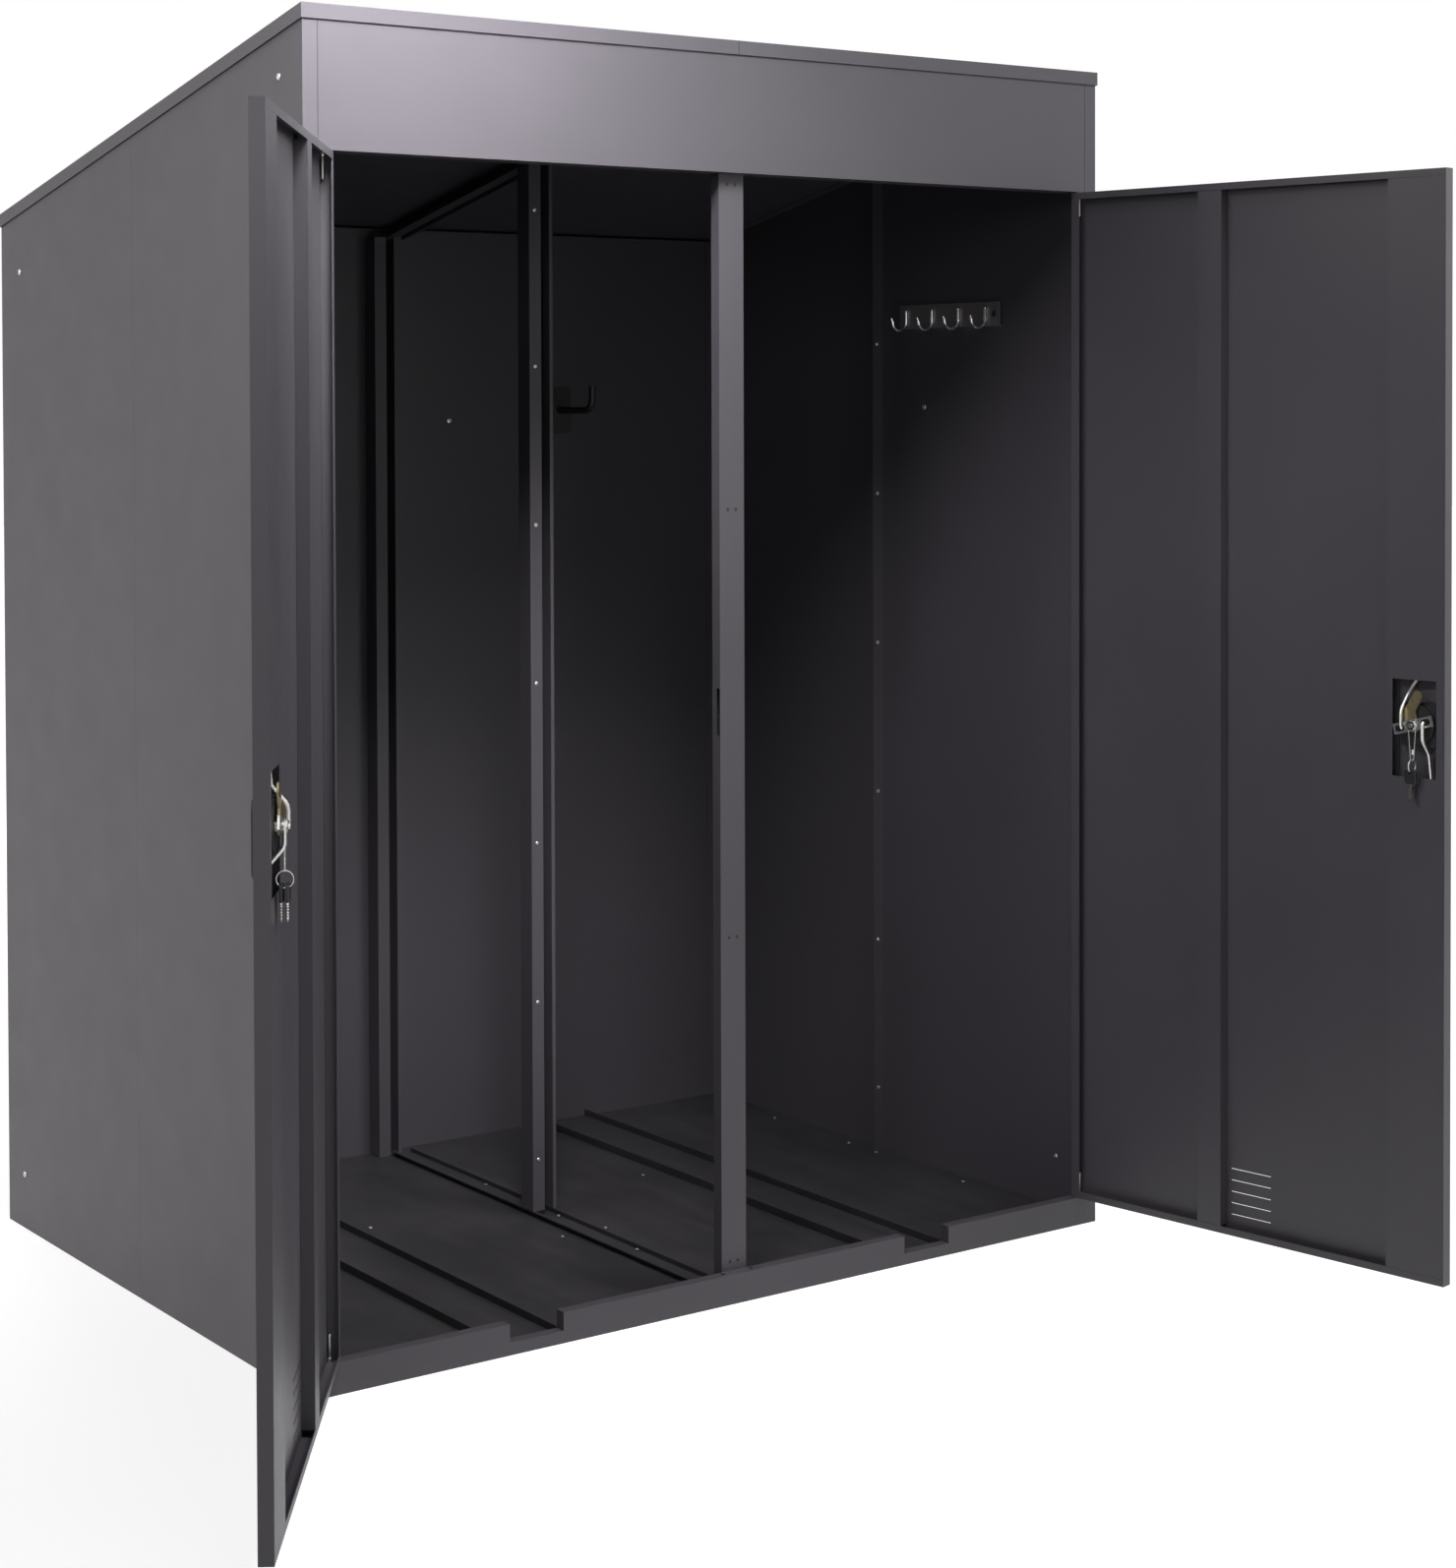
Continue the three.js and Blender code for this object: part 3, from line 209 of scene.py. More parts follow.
def powder_coat(name, dark, light, dust=0.0):
    """Satin powder coat on sheet: fine orange peel, a slightly wavy sheet and, on floors, dust."""
    m = Nodes(name)
    peel = m.noise(**PEEL)
    colour = m.ramp(m.noise(**CLOUD), dark, light)
    fleck = m.ramp(peel, grey(PEEL_TONES[0]), grey(PEEL_TONES[1]), PEEL_STOPS)
    colour = m.mix(PEEL_SHARE, colour, fleck, "MULTIPLY")
    if dust:
        colour = dusty(m, colour, dust)
    m.link(colour, m.shader.inputs["Base Color"])
    m.link(m.spread(m.noise(**COAT_GLOSS), *COAT_ROUGHNESS), m.shader.inputs["Roughness"])
    wavy = m.bump(m.noise(**WAVE), *WAVE_BUMP)
    m.bump(peel, *PEEL_BUMP, below=wavy)
    m.set(Metallic=0.0, IOR=COAT_IOR)
    return m.material


# Plated steel
PLATING = {"detail": 4, "roughness": 0.6}
PLATING_SCALE = 260
SCRATCHES = {"scale": 900, "stretch": (0.15, 1, 1)}
SCRATCH_BUMP = (0.12, 0.0002)
PLATED_ROUGHNESS_SPREAD = (0.7, 1.4)


def plated(name, colour, other, roughness, scale=PLATING_SCALE):
    """Plated steel: a bright metal with a faint mottle and fine scratches."""
    m = Nodes(name)
    scratches = m.noise(**SCRATCHES)
    m.link(m.ramp(m.noise(scale, **PLATING), colour, other), m.shader.inputs["Base Color"])
    smooth, rough = (roughness * share for share in PLATED_ROUGHNESS_SPREAD)
    m.link(m.spread(scratches, smooth, rough), m.shader.inputs["Roughness"])
    m.bump(scratches, *SCRATCH_BUMP)
    m.set(Metallic=1.0)
    return m.material


# Moulded plastic and rubber
GRAIN = {"scale": 1500, "detail": 2}
GRAIN_BUMP = (0.25, 0.0002)
MOTTLE = {"scale": 60, "detail": 4}
MOTTLE_STOPS = (0.3, 0.75)
MOTTLE_LIGHTER = 1.7
MOULDED_ROUGHNESS_SPREAD = (0.8, 1.2)


def moulded(name, colour, roughness):
    """Moulded black plastic or rubber with a fine grain."""
    m = Nodes(name)
    grain = m.noise(**GRAIN)
    lighter = tuple(MOTTLE_LIGHTER * part for part in colour)
    m.link(m.ramp(m.noise(**MOTTLE), colour, lighter, MOTTLE_STOPS), m.shader.inputs["Base Color"])
    smooth, rough = (roughness * share for share in MOULDED_ROUGHNESS_SPREAD)
    m.link(m.spread(grain, smooth, rough), m.shader.inputs["Roughness"])
    m.bump(grain, *GRAIN_BUMP)
    return m.material


COAT = powder_coat("coat", (0.0655, 0.0610, 0.0700), (0.0775, 0.0725, 0.0830))
# Floor parts: the same powder coat painted about three times darker, as painted shade of the bay floors;
# the dust on it is real dust
COAT_FLOOR_SHADED = powder_coat("coat_floor_painted_shade", (0.020, 0.019, 0.021), (0.029, 0.028, 0.031), dust=0.16)
COAT_RAIL = powder_coat("coat_rail", (0.15, 0.14, 0.145), (0.17, 0.16, 0.165))
CHROME = plated("chrome_plate", (0.90, 0.90, 0.91), (0.94, 0.94, 0.95), 0.16)
ZINC = plated("zinc_plate", (0.50, 0.50, 0.48), (0.66, 0.66, 0.64), 0.30)
YELLOW_ZINC = plated("yellow_zinc", (0.42, 0.34, 0.17), (0.55, 0.50, 0.33), 0.32, scale=120)
KEY_METAL = plated("key_metal", (0.55, 0.54, 0.50), (0.70, 0.69, 0.66), 0.22)
BLACK_PLASTIC = moulded("black_plastic", (0.012, 0.012, 0.013), 0.42)
RUBBER = moulded("hook_rubber", (0.010, 0.010, 0.010), 0.6)

# Finish of the carried-over nodes; angles are in degrees
FLOOR_NODES = ("floor_plate", "wheel_channel", "divider_foot_rail")
SLOT_MATERIAL = {
    "powder_coat": COAT,
    "chrome_plate": CHROME,
    "zinc_plate": ZINC,
    "yellow_zinc": YELLOW_ZINC,
    "black_plastic": BLACK_PLASTIC,
    "hook_rubber": RUBBER,
}
EDGE_RADIUS = {
    "powder_coat": 0.0005,
    "black_plastic": 0.0008,
    "zinc_plate": 0.0003,
    "yellow_zinc": 0.0004,
}
EDGE_STEPS = 2
SHARP_EDGES = ("key", "lock_rod")
NODE_SMOOTH_ANGLE = 32
EDGE_ANGLE = 40
PIECE_SMOOTH_ANGLE = 35


def round_edges(node, radius):
    bevel = node.modifiers.new("edge", "BEVEL")
    bevel.width = radius
    bevel.segments = EDGE_STEPS
    bevel.limit_method = "ANGLE"
    bevel.angle_limit = math.radians(EDGE_ANGLE)
    bevel.harden_normals = True


def dress_nodes():
    """Every carried-over node gets its material and smooth round faces, and most get rounded edges."""
    for entry in frame["record"]["subparts"]:
        node = NODES[entry["node"]]
        slot = entry["material_slot"]
        # the floor parts take the darkened coat, which is painted shade
        material = COAT_FLOOR_SHADED if entry["node"].startswith(FLOOR_NODES) else SLOT_MATERIAL[slot]
        if entry["node"] == "coat_hook_rail":
            material = COAT_RAIL
        node.data.materials.clear()
        node.data.materials.append(material)
        node.data.shade_smooth()
        node.data.set_sharp_from_angle(angle=math.radians(NODE_SMOOTH_ANGLE))
        if slot in EDGE_RADIUS and not entry["node"].startswith(SHARP_EDGES):
            round_edges(node, EDGE_RADIUS[slot])


# Making of small pieces
INWARDS = (0, 1, 0)
OUTWARDS = (0, -1, 0)
UPWARDS = (0, 0, 1)


def new_piece(name, bm, material, body, place=None, smooth=True):
    mesh = bpy.data.meshes.new(name)
    bm.to_mesh(mesh)
    bm.free()
    piece = bpy.data.objects.new(name, mesh)
    bpy.context.scene.collection.objects.link(piece)
    mesh.materials.append(material)
    if smooth:
        mesh.shade_smooth()
        mesh.set_sharp_from_angle(angle=math.radians(PIECE_SMOOTH_ANGLE))
    if place is not None:
        mesh.transform(place)
        if place.to_3x3().determinant() < 0:
            mesh.flip_normals()
    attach(piece, body)
    return piece


def lathe(bm, profile, sides, place):
    """A closed turned form about Z from (radius, height) pairs, of which a radius of 0 is on the axis."""
    rings = []
    for radius, height in profile:
        if radius == 0:
            rings.append([bm.verts.new(place @ Vector((0, 0, height)))])
            continue
        ring = []
        for i in range(sides):
            angle = 2 * math.pi * i / sides
            point = Vector((radius * math.cos(angle), radius * math.sin(angle), height))
            ring.append(bm.verts.new(place @ point))
        rings.append(ring)
    for low, high in zip(rings, rings[1:]):
        for i in range(sides):
            j = (i + 1) % sides
            corners = [low[i % len(low)], low[j % len(low)], high[j % len(high)], high[i % len(high)]]
            bm.faces.new(list(dict.fromkeys(corners)))


def prism(bm, near, far):
    """A closed form between two like outlines."""
    near = [bm.verts.new(point) for point in near]
    far = [bm.verts.new(point) for point in far]
    bm.faces.new(near)
    bm.faces.new(list(reversed(far)))
    for i in range(len(near)):
        j = (i + 1) % len(near)
        bm.faces.new([near[j], near[i], far[i], far[j]])


def face_outwards(bm):
    bmesh.ops.recalc_face_normals(bm, faces=bm.faces)


def facing(direction, point):
    """A place whose Z axis points along direction."""
    turn = Vector(UPWARDS).rotation_difference(Vector(direction))
    return Matrix.Translation(point) @ turn.to_matrix().to_4x4()


# Screw heads: the shares are of the head's radius and height
SCREW_SIDES = 20
DOME_STEPS = 5
DOME_EDGE = 0.35
SOCKET_WIDTH = 0.5
SOCKET_RIM = 0.05
SOCKET_TAPER = 0.85
SOCKET_FLOOR = 0.35


def screw_head(bm, place, radius, height):
    """A domed screw head with a round socket."""
    dome = []
    for i in range(DOME_STEPS):
        angle = math.pi / 2 * i / DOME_STEPS
        dome.append((radius * math.cos(angle), height * (DOME_EDGE + (1 - DOME_EDGE) * math.sin(angle))))
    top = dome[-1][1] + height * SOCKET_RIM
    lathe(bm, [(0, 0), (radius, 0), *dome, (radius * SOCKET_WIDTH, top)], SCREW_SIDES, place)
    rim = list(bm.verts)[-SCREW_SIDES:]
    floor = []
    for vertex in rim:
        local = place.inverted() @ vertex.co
        corner = Vector((local.x * SOCKET_TAPER, local.y * SOCKET_TAPER, height * SOCKET_FLOOR))
        floor.append(bm.verts.new(place @ corner))
    for i in range(SCREW_SIDES):
        j = (i + 1) % SCREW_SIDES
        bm.faces.new([rim[i], rim[j], floor[j], floor[i]])
    bm.faces.new(floor)


def screws(name, places, material, body, radius, height):
    """One piece that holds a row of like screw heads, each place being (point, outward direction)."""
    bm = bmesh.new()
    for point, direction in places:
        screw_head(bm, facing(direction, point), radius, height)
    piece = new_piece(name, bm, material, body)


def door_place(side):
    """From the door's own frame (x to the free edge, y inwards) to the model's frame at rest."""
    stretch = Matrix.Diagonal((MIRROR[side], 1, 1, 1))
    return Matrix.Translation(PIVOT[side]) @ Matrix.Rotation(OPEN_ANGLE[side], 4, "Z") @ stretch


def lock_place(side):
    """From a frame at the lock's shaft, on the leaf's outer face, to the model's frame at rest."""
    return door_place(side) @ Matrix.Translation(LOCK_PLACE)


def turned_place(side):
    """The same, for what turns with the lock's shaft."""
    return lock_place(side) @ Matrix.Rotation(-LOCK_TURN, 4, "Y")


# Fasteners of the body: each kind is (radius, height), and each place is along the axes it names
WALL_BOLT = (0.0055, 0.0028)
SMALL_SCREW = (0.0038, 0.0020)
POST_SCREW = (0.0030, 0.0002)
HOOK_RIVET = (0.0020, 0.0011)
POST_SCREW_HALF_PITCH = 0.008
POST_SCREW_LEVELS = (1.864, 1.324, 0.609, 0.065)
UPRIGHT_SCREW_X = -0.013
UPRIGHT_SCREW_LEVELS = (1.856, 1.570, 1.279, 0.988, 0.694, 0.400, 0.109)
SEAM_BOLT_X = 0.786
SEAM_BOLT_LEVELS = (1.619, 1.321, 1.023, 0.725, 0.427, 0.129)
WALL_BOLTS_OUTSIDE_YZ = ((0.513, 1.742), (0.523, 0.099), (-0.523, 1.996))
WALL_BOLTS_INSIDE_YZ = ((-0.113, 1.493), (-0.494, 0.097))
REAR_BOLT_XZ = (0.139, 1.468)
FLOOR_SCREWS_XY = (
    (0.768, -0.264),
    (0.768, 0.004),
    (0.768, 0.093),
    (0.768, 0.345),
    (0.046, -0.113),
    (0.298, 0.140),
)
FOOT_SCREW_X = 0.009
FOOT_SCREWS_Y = (-0.272, -0.012, 0.248)
HOOK_COUNT = 4
HOOK_PITCH = 0.079
HOOK_FIRST_Y = -0.068
HOOK_LEVEL = 1.670
HOOK_PLATE = 0.0028
HOOK_RIVET_RISE = 0.0115


def add_post_screws():
    post_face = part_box("centre_post")[0][1]
    places = [((across, post_face, level), OUTWARDS)
              for level in POST_SCREW_LEVELS
              for across in (-POST_SCREW_HALF_PITCH, POST_SCREW_HALF_PITCH)]
    screws("post_screws", places, RUBBER, "body", *POST_SCREW)


def add_upright_screws():
    upright_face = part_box("divider_mid_upright")[0][1]
    places = [((UPRIGHT_SCREW_X, upright_face, level), OUTWARDS) for level in UPRIGHT_SCREW_LEVELS]
    screws("upright_screws", places, ZINC, "body", *SMALL_SCREW)


def add_side_fasteners(side, sign):
    """Bolts through the wall and the rear panel, bolts of the wall's seam, and screws of the floor."""
    outer = sign * HALF_WIDTH
    inner = sign * (HALF_WIDTH - SHEET)
    rear_face = HALF_DEPTH - SHEET
    places = [((outer, y, z), (sign, 0, 0)) for y, z in WALL_BOLTS_OUTSIDE_YZ]
    places += [((inner, y, z), (-sign, 0, 0)) for y, z in WALL_BOLTS_INSIDE_YZ]
    places += [((sign * REAR_BOLT_XZ[0], rear_face, REAR_BOLT_XZ[1]), OUTWARDS)]
    screws(f"wall_bolts_{side}", places, ZINC, "body", *WALL_BOLT)
    seam_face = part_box(f"side_panel_front_{side}")[1][1] - SHEET
    places = [((sign * SEAM_BOLT_X, seam_face, level), OUTWARDS) for level in SEAM_BOLT_LEVELS]
    screws(f"seam_bolts_{side}", places, ZINC, "body", *SMALL_SCREW)
    floor_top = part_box("floor_plate_left")[1][2]
    places = [((sign * x, y, floor_top), UPWARDS) for x, y in FLOOR_SCREWS_XY]
    screws(f"floor_screws_{side}", places, ZINC, "body", *SMALL_SCREW)


def add_foot_screws():
    floor_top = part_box("floor_plate_left")[1][2]
    foot_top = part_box("divider_foot_rail")[1][2]
    groove = (foot_top + floor_top) / 2
    places = [((FOOT_SCREW_X, y, groove), UPWARDS) for y in FOOT_SCREWS_Y]
    screws("foot_screws", places, ZINC, "body", *SMALL_SCREW)


def add_hook_rivets():
    plate_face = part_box("coat_hook_rail")[0][0] - HOOK_PLATE
    level = HOOK_LEVEL + HOOK_RIVET_RISE
    places = [((plate_face, HOOK_FIRST_Y - i * HOOK_PITCH, level), (-1, 0, 0)) for i in range(HOOK_COUNT)]
    screws("coat_hook_rivets", places, CHROME, "body", *HOOK_RIVET)


def add_body_fasteners():
    add_post_screws()
    add_upright_screws()
    for side, sign in (("right", 1), ("left", -1)):
        add_side_fasteners(side, sign)
    add_foot_screws()
    add_hook_rivets()


# Painted shade: thin dark strips in the open joints of the front, where fascia meets side pan and roof
# tray meets roof tray, stand in for the shadow in these joints
SEAM_SHADE_WIDTH = 0.0013
SEAM_SHADE_PROUD = 0.00015
ROOF_LIP = 0.023


def add_seam_shade_strip(bm, middle, front, low, high):
    """One upright dark strip of painted shade, set from just before the joint's front to halfway through
    the sheet.
    """
    left, right = middle - SEAM_SHADE_WIDTH / 2, middle + SEAM_SHADE_WIDTH / 2
    near, far = front - SEAM_SHADE_PROUD, front + SHEET / 2
    section = ((near, low), (near, high), (far, high), (far, low))
    prism(bm, [(left, y, z) for y, z in section], [(right, y, z) for y, z in section])


def add_seam_shade():
    bm = bmesh.new()
    low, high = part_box("fascia")
    tray_low, tray_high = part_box("roof_tray_right")
    lip = tray_high[2] - ROOF_LIP
    add_seam_shade_strip(bm, 0, tray_low[1], lip, tray_high[2] - SEAM_SHADE_PROUD)
    for joint in (low[0], high[0]):
        add_seam_shade_strip(bm, joint, low[1], low[2], lip)
    face_outwards(bm)
    # the strips take the dark rubber material to paint the joints' shadow
    piece = new_piece("front_seam_shade", bm, RUBBER, "body", smooth=False)


# Hinge hardware of the doors: the collar is (radius, height), and its shoulder and the tip are shares
PIN_RADIUS = 0.003
PIN_CLEARANCE = 0.0001
PIN_TIP = 0.0012
TIP_NARROWING = (0.9, 0.5)
TIP_STEP = 1 / 3
COLLAR = (0.0052, 0.006)
COLLAR_SHOULDER = (0.9, 0.8)
HINGE_SIDES = 24


def add_hinge_hardware(side):
    """A zinc collar on each hinge pin, against the leaf's inner edge, and a rounded tip."""
    bm = bmesh.new()
    edge = PIN_RADIUS + PIN_CLEARANCE
    radius, height = COLLAR
    narrow, shoulder = COLLAR_SHOULDER
    collar = [(0, 0), (radius, 0), (radius, height * shoulder), (radius * narrow, height), (0, height)]
    tip = [(0, -PIN_TIP), (edge, -PIN_TIP), (edge * TIP_NARROWING[0], -PIN_TIP * TIP_STEP)]
    tip += [(edge * TIP_NARROWING[1], 0), (0, 0)]
    for level, way, node in ((LEAF_TOP, -1, "hinge_pin_upper_"), (LEAF_BOTTOM, 1, "hinge_pin_lower_")):
        low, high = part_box(node + side)
        inner_end = low[2] if way < 0 else high[2]
        for height_at, profile in ((level + way * SHEET, collar), (inner_end, tip)):
            place = Matrix.Translation((0, 0, height_at)) @ Matrix.Diagonal((1, 1, way, 1))
            lathe(bm, profile, HINGE_SIDES, place)
    face_outwards(bm)
    piece = new_piece(f"hinge_collars_{side}", bm, ZINC, f"door_{side}", door_place(side))


# Blades of the pressed ventilation slots, each hung from the upper edge of its slot
VENT_COUNT = 5
VENT_PITCH = 0.020
VENT_FIRST = 0.031
VENT_START = 0.332
VENT_LENGTH = 0.082
VENT_HEIGHT = 0.003
VENT_END_GAP = 0.6
BLADE_LIGHT = 0.0009
BLADE_SHEET = 0.0007


def add_vent_blades(side):
    bm = bmesh.new()
    half = (VENT_LENGTH - VENT_HEIGHT * VENT_END_GAP) / 2
    middle = VENT_START + VENT_LENGTH / 2
    inner_face = LEAF_FACE + SHEET
    for i in range(VENT_COUNT):
        low = LEAF_BOTTOM + VENT_FIRST + i * VENT_PITCH
        top = low + VENT_HEIGHT
        foot = low + BLADE_LIGHT
        section = [(inner_face, top), (inner_face - BLADE_SHEET, top), (LEAF_FACE, foot),
                   (LEAF_FACE + BLADE_SHEET, foot)]
        prism(bm, [(middle - half, y, z) for y, z in section], [(middle + half, y, z) for y, z in section])
    face_outwards(bm)
    piece = new_piece(f"vent_blades_{side}", bm, COAT, f"door_{side}", door_place(side), smooth=False)


# Lock hardware, by distance from the leaf's outer face; the washer is (radius, thickness), the sleeve
# (radius, start, end), and the nut's chamfer a share of its radius and height
NUT_LAYER = 0.0335
NUT_SEAT = 0.0002
NUT_SIDES = 6
NUT_RADIUS = 0.0083
NUT_HEIGHT = 0.0042
NUT_CHAMFER = (0.86, 0.2)
THREAD_RADIUS = 0.0042
THREAD_END = 0.0024
THREAD_NARROWING = 0.9
WASHER = (0.0105, 0.0004)
SLEEVE = (0.0068, 0.0208, 0.0241)
ROUND_SIDES = 28


def disc(radius, low, high):
    return [(0, low), (radius, low), (radius, high), (0, high)]


def add_lock_nut(side):
    """The nut and washer at the end of the lock's shaft, and the sleeve between housing and cam."""
    bm = bmesh.new()
    start = NUT_LAYER - NUT_SEAT
    end = start + NUT_HEIGHT
    inwards = facing(INWARDS, (0, 0, 0))
    narrow, chamfer = NUT_CHAMFER
    tip = end + THREAD_END
    nut = [(0, start), (NUT_RADIUS, start), (NUT_RADIUS, end - NUT_HEIGHT * chamfer)]
    nut += [(NUT_RADIUS * narrow, end)]
    thread = [(THREAD_RADIUS, end), (THREAD_RADIUS * THREAD_NARROWING, tip), (0, tip)]
    lathe(bm, nut + thread, NUT_SIDES, inwards)
    radius, thickness = WASHER
    lathe(bm, disc(radius, start - thickness, start), ROUND_SIDES, inwards)
    lathe(bm, disc(*SLEEVE), ROUND_SIDES, inwards)
    piece = new_piece(f"lock_nut_{side}", bm, ZINC, f"lock_{side}", turned_place(side))


# Crimp of the key wire: (radius, height), and its waisted profile as shares of both
WIRE_LAYER = 0.0322
CRIMP = (0.0017, 0.008)
CRIMP_PROFILE = ((0.8, 0), (1, 0.15), (0.8, 0.5), (1, 0.85), (0.8, 1))
CRIMP_DROP = 0.044
CRIMP_STRETCH = 2.2
CRIMP_SIDES = 20


def add_crimp(side):
    """The flattened tube that closes the key wire."""
    bm = bmesh.new()
    radius, height = CRIMP
    stretch = Matrix.Diagonal((CRIMP_STRETCH, 1, 1, 1))
    place = Matrix.Translation((0, WIRE_LAYER, -CRIMP_DROP - height / 2)) @ stretch
    profile = [(radius * wide, height * up) for wide, up in CRIMP_PROFILE]
    lathe(bm, [(0, 0), *profile, (0, height)], CRIMP_SIDES, place)
    piece = new_piece(f"key_wire_crimp_{side}", bm, ZINC, f"door_{side}", lock_place(side))


# Keys: a moulded head with its hole and softened rims, and a cut blade
KEY_HEAD = (0.021, 0.024, 0.005)
KEY_CORNER = 0.005
KEY_CORNER_STEPS = 5
KEY_RIM = 0.12
KEY_HOLE = 0.003
KEY_HOLE_INSET = 0.005
KEY_BLADE = (0.008, 0.025, 0.0022)
KEY_BLADE_ROOT = 0.002
KEY_CUTS = (0.0016, 0.0024, 0.0010, 0.0022, 0.0014)
KEY_CUT_SPAN = (0.35, 0.65)
KEY_TIP = 0.003
KEY_TIP_SPAN = (-0.3, 0.2)
KEY_LAYERS = {1: -0.004, 2: 0.004}


def round_cornered(width, height, corner):
    """A rectangle with round corners about its middle, as an outline of (x, z)."""
    outline = []
    for quarter in range(4):
        right = 1 if quarter in (0, 3) else -1
        up = 1 if quarter < 2 else -1
        for i in range(KEY_CORNER_STEPS + 1):
            angle = math.pi / 2 * (quarter + i / KEY_CORNER_STEPS)
            outline.append((right * (width / 2 - corner) + corner * math.cos(angle),
                            up * (height / 2 - corner) + corner * math.sin(angle)))
    return outline


def holed_plate(bm, size, corner, hole, hole_rise, place):
    """A plate in X and Z with round corners, softened rims and a round hole through it."""
    width, height, thickness = size
    outline = round_cornered(width, height, corner)
    inset = thickness * KEY_RIM
    side = 0.5 - KEY_RIM
    loops = []
    for depth, narrowing in ((-0.5, inset), (-side, 0), (side, 0), (0.5, inset)):
        across, up = 1 - 2 * narrowing / width, 1 - 2 * narrowing / height
        loops.append([(x * across, depth * thickness, z * up) for x, z in outline])
    for depth in (0.5, -0.5):
        away = [Vector((x, z - hole_rise)).normalized() * hole for x, z in outline]
        loops.append([(point.x, depth * thickness, hole_rise + point.y) for point in away])
    rings = [[bm.verts.new(place @ Vector(point)) for point in loop] for loop in loops]
    for ring, other in zip(rings, rings[1:] + rings[:1]):
        for i in range(len(outline)):
            j = (i + 1) % len(outline)
            bm.faces.new([ring[i], ring[j], other[j], other[i]])
    face_outwards(bm)


def cut_blade(bm, place):
    """A flat key blade that hangs down from z = 0, pointed and cut along one edge."""
    width, length, thickness = KEY_BLADE
    half = width / 2
    outline = [(-half, KEY_BLADE_ROOT), (-half, -length + KEY_TIP)]
    outline += [(half * share, -length) for share in KEY_TIP_SPAN]
    step = (length - 2 * KEY_TIP) / len(KEY_CUTS)
    for i, cut in enumerate(KEY_CUTS):
        low = -length + KEY_TIP + i * step
        outline += [(half, low), *((half - cut, low + step * share) for share in KEY_CUT_SPAN)]
    outline += [(half, -KEY_TIP), (half, KEY_BLADE_ROOT)]
    prism(bm, [place @ Vector((x, -thickness / 2, z)) for x, z in outline],
          [place @ Vector((x, thickness / 2, z)) for x, z in outline])
    face_outwards(bm)


def add_keys(side):
    """Each key's head stands for its node, and its blade hangs from the head."""
    body = f"door_{side}"
    for number, layer in KEY_LAYERS.items():
        node = f"key_{number}_{side}"
        low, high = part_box(node)
        top = high[2] - LOCK_PLACE.z
        head = bmesh.new()
        centre = Vector((0, WIRE_LAYER + layer, top - KEY_HEAD[1] / 2))
        rise = KEY_HEAD[1] / 2 - KEY_HOLE_INSET
        holed_plate(head, KEY_HEAD, KEY_CORNER, KEY_HOLE, rise, Matrix.Translation(centre))
        piece = new_piece(f"key_head_{number}_{side}", head, BLACK_PLASTIC, body, lock_place(side))
        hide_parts(node)
        blade = bmesh.new()
        cut_blade(blade, Matrix.Translation(centre - Vector((0, 0, KEY_HEAD[1] / 2))))
        name = f"key_blade_{number}_{side}"
        piece = new_piece(name, blade, KEY_METAL, body, lock_place(side), smooth=False)


# Lights: energy in watts, spread in degrees, and a full half turn of spread where none is given
NEUTRAL = (1, 1, 1)
SOFT_WHITE = (1, 0.98, 1)
FULL_SPREAD = 180
LIGHTS = {
    "front": {"place": (1.4, -3.2, 4.2), "aim": (0.3, -0.6, 1.2),
              "size": 1.4, "energy": 98, "colour": SOFT_WHITE},
    "steep": {"place": (-0.9, -2.6, 4.6), "aim": (0, -0.5, 1.0),
              "size": 1.4, "energy": 24, "colour": SOFT_WHITE},
    "brow": {"place": (-0.8, -1.3, 2.75), "aim": (-0.6, -0.6, 2.0),
             "size": 0.5, "energy": 15.5, "colour": SOFT_WHITE, "spread": 80},
    "side": {"place": (-2.3, -2.3, 2.2), "aim": (0.3, -0.3, 1.5),
             "size": 0.5, "energy": 7, "colour": (0.97, 0.96, 1)},
    "door": {"place": (-1.4, -1.0, 2.9), "aim": (0.85, -1.0, 1.0),
             "size": 0.5, "energy": 1.7, "colour": (0.98, 0.97, 1), "spread": 40},
    "left": {"place": (-5.6, 1.6, 2.4), "aim": (-0.8, 0, 1.0),
             "size": 3.0, "energy": 82, "colour": (1, 0.86, 0.92)},
    "right": {"place": (5.5, -0.5, 3.0), "aim": (0.8, 0, 1.0),
              "size": 3.0, "energy": 110, "colour": NEUTRAL},
    "rear": {"place": (1.5, 5.5, 3.2), "aim": (0, 0.6, 1.0),
             "size": 3.0, "energy": 110, "colour": NEUTRAL},
}

# Stage: the floor's glow is (distance from the middle, strength) at its near and far end
AMBIENT = 0.03
WHITE = (1, 1, 1, 1)
FLOOR_SIZE = 60
FLOOR_TONES = (0.42, 0.45)
FLOOR_CLOUD_SCALE = 0.8
FLOOR_ROUGHNESS = 0.9
GROUND_GLOW = ((2.0, 0.80), (5.0, 1.0))


def add_light(name, settings):
    data = bpy.data.lights.new(name, "AREA")
    data.size = settings["size"]
    data.energy = settings["energy"]
    data.color = settings["colour"]
    data.spread = math.radians(settings.get("spread", FULL_SPREAD))
    light = bpy.data.objects.new(name, data)
    bpy.context.scene.collection.objects.link(light)
    light.location = settings["place"]
    aim = Vector(settings["aim"]) - light.location
    light.rotation_euler = aim.to_track_quat("-Z", "Y").to_euler()


def seen_directly(tree):
    """1 on rays from the camera, off gloss or through glass, and 0 on rays that light the object."""
    path = tree.nodes.new("ShaderNodeLightPath")
    seen = path.outputs["Is Camera Ray"]
    for other in ("Is Glossy Ray", "Is Transmission Ray"):
        largest = tree.nodes.new("ShaderNodeMath")
        largest.operation = "MAXIMUM"
        tree.links.new(seen, largest.inputs[0])
        tree.links.new(path.outputs[other], largest.inputs[1])
        seen = largest.outputs[0]
    return seen


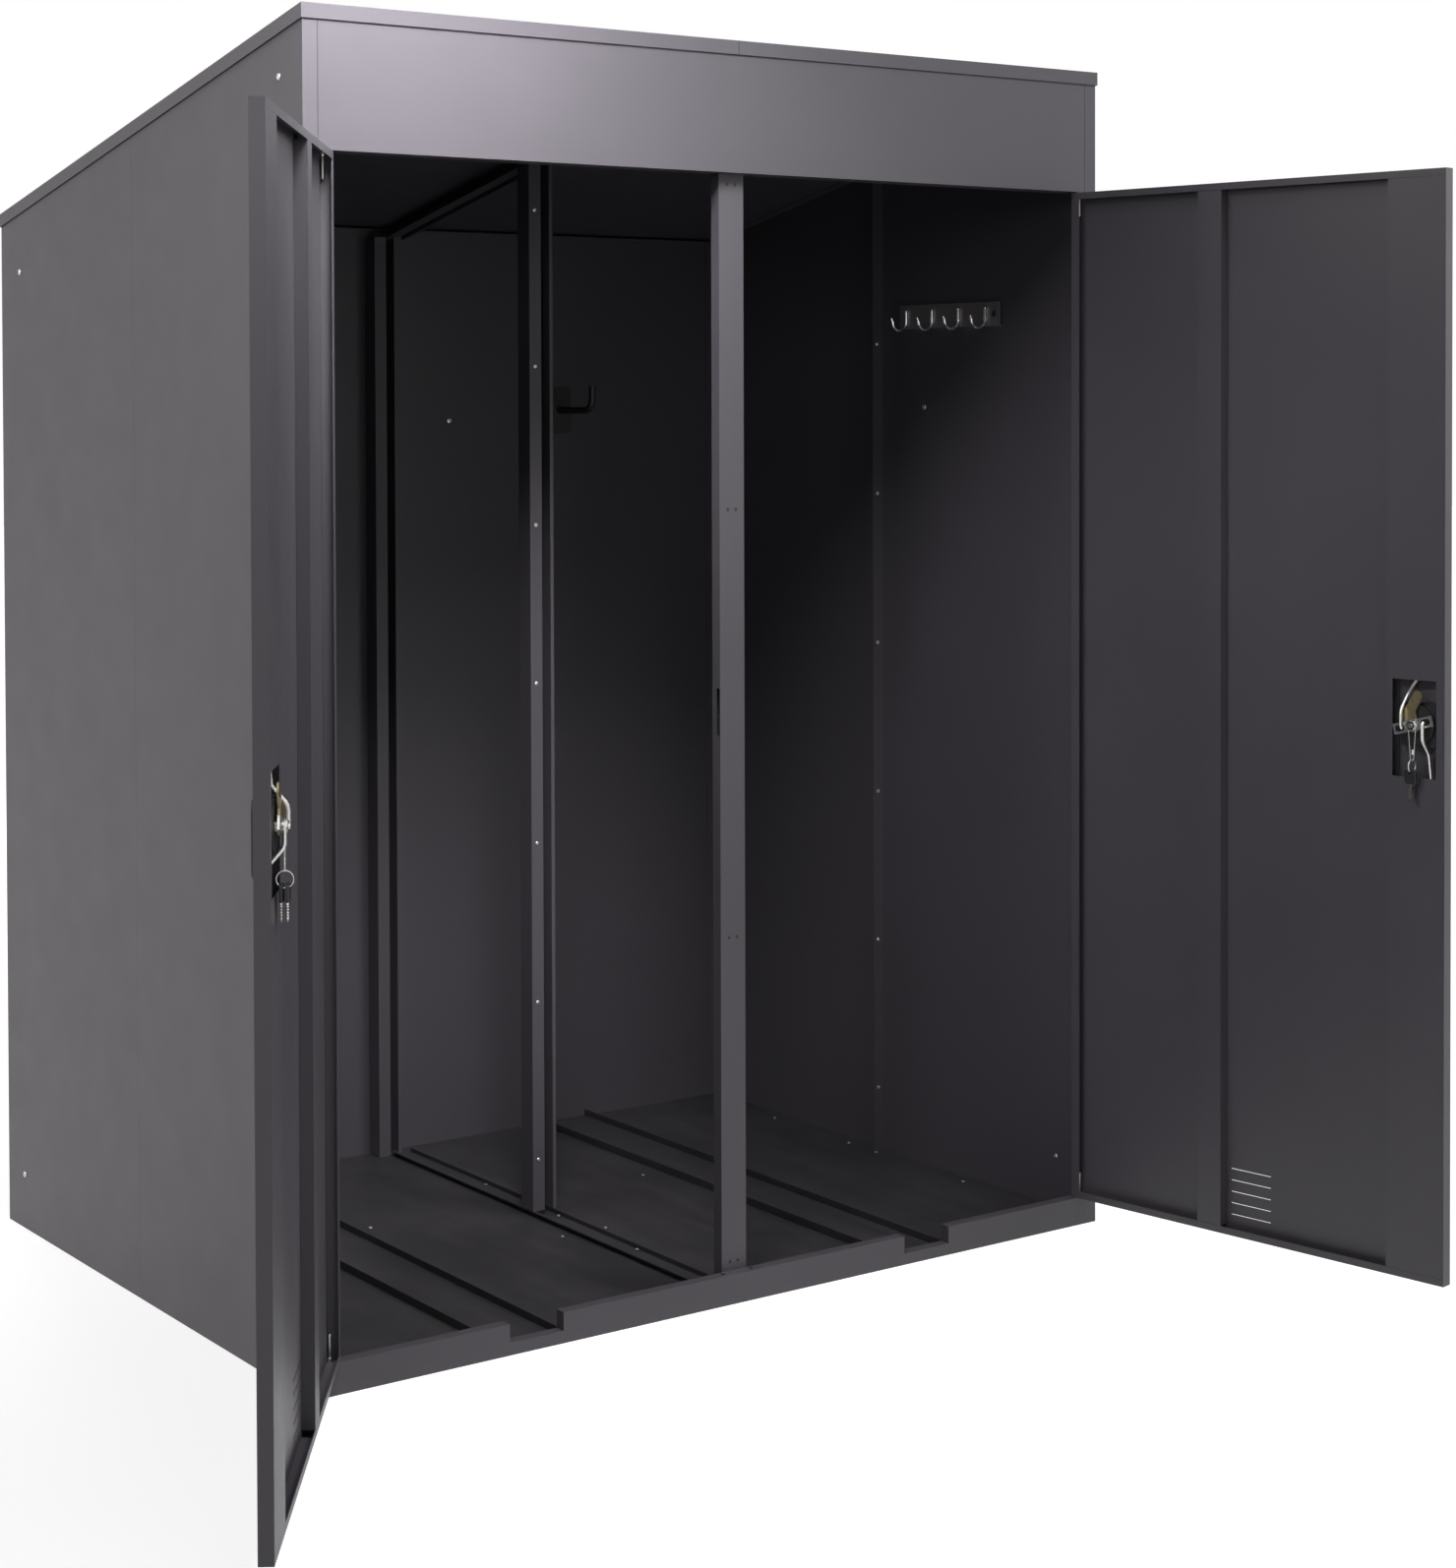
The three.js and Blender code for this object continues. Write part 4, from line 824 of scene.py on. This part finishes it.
def add_world():
    """A white background that lights the object only faintly."""
    bpy.context.scene.view_settings.view_transform = "Standard"
    world = bpy.data.worlds.new("studio")
    bpy.context.scene.world = world
    world.use_nodes = True
    tree = world.node_tree
    background = tree.nodes["Background"]
    strength = tree.nodes.new("ShaderNodeMapRange")
    strength.inputs["To Min"].default_value = AMBIENT
    tree.links.new(seen_directly(tree), strength.inputs["Value"])
    tree.links.new(strength.outputs["Result"], background.inputs["Strength"])
    background.inputs["Color"].default_value = WHITE


def floor_material():
    """Pale floor whose glow rises with distance, so that it runs into the white background."""
    m = Nodes("floor")
    dark, light = (grey(tone) for tone in FLOOR_TONES)
    m.link(m.ramp(m.noise(FLOOR_CLOUD_SCALE), dark, light), m.shader.inputs["Base Color"])
    m.set(Roughness=FLOOR_ROUGHNESS, Emission_Color=WHITE)
    away = m.add("ShaderNodeVectorMath", operation="LENGTH")
    m.link(m.place, away.inputs[0])
    glow = m.add("ShaderNodeMapRange")
    m.link(away.outputs["Value"], glow.inputs["Value"])
    for end, (distance, strength) in zip(("Min", "Max"), GROUND_GLOW):
        glow.inputs[f"From {end}"].default_value = distance
        glow.inputs[f"To {end}"].default_value = strength
    shown = m.add("ShaderNodeMath", operation="MULTIPLY")
    m.link(glow.outputs["Result"], shown.inputs[0])
    m.link(seen_directly(m.tree), shown.inputs[1])
    m.link(shown.outputs[0], m.shader.inputs["Emission Strength"])
    return m.material


def add_floor():
    bm = bmesh.new()
    half = FLOOR_SIZE / 2
    corners = ((-half, -half), (half, -half), (half, half), (-half, half))
    bm.faces.new([bm.verts.new((x, y, 0)) for x, y in corners])
    mesh = bpy.data.meshes.new("floor")
    bm.to_mesh(mesh)
    bm.free()
    floor = bpy.data.objects.new("floor", mesh)
    bpy.context.scene.collection.objects.link(floor)
    mesh.materials.append(floor_material())


add_camera()
add_world()
add_floor()
for light_name, light_settings in LIGHTS.items():
    add_light(light_name, light_settings)
dress_nodes()
add_body_fasteners()
add_seam_shade()
for door_side in ("right", "left"):
    add_hinge_hardware(door_side)
    add_lock_nut(door_side)
    add_vent_blades(door_side)
    add_crimp(door_side)
    add_keys(door_side)
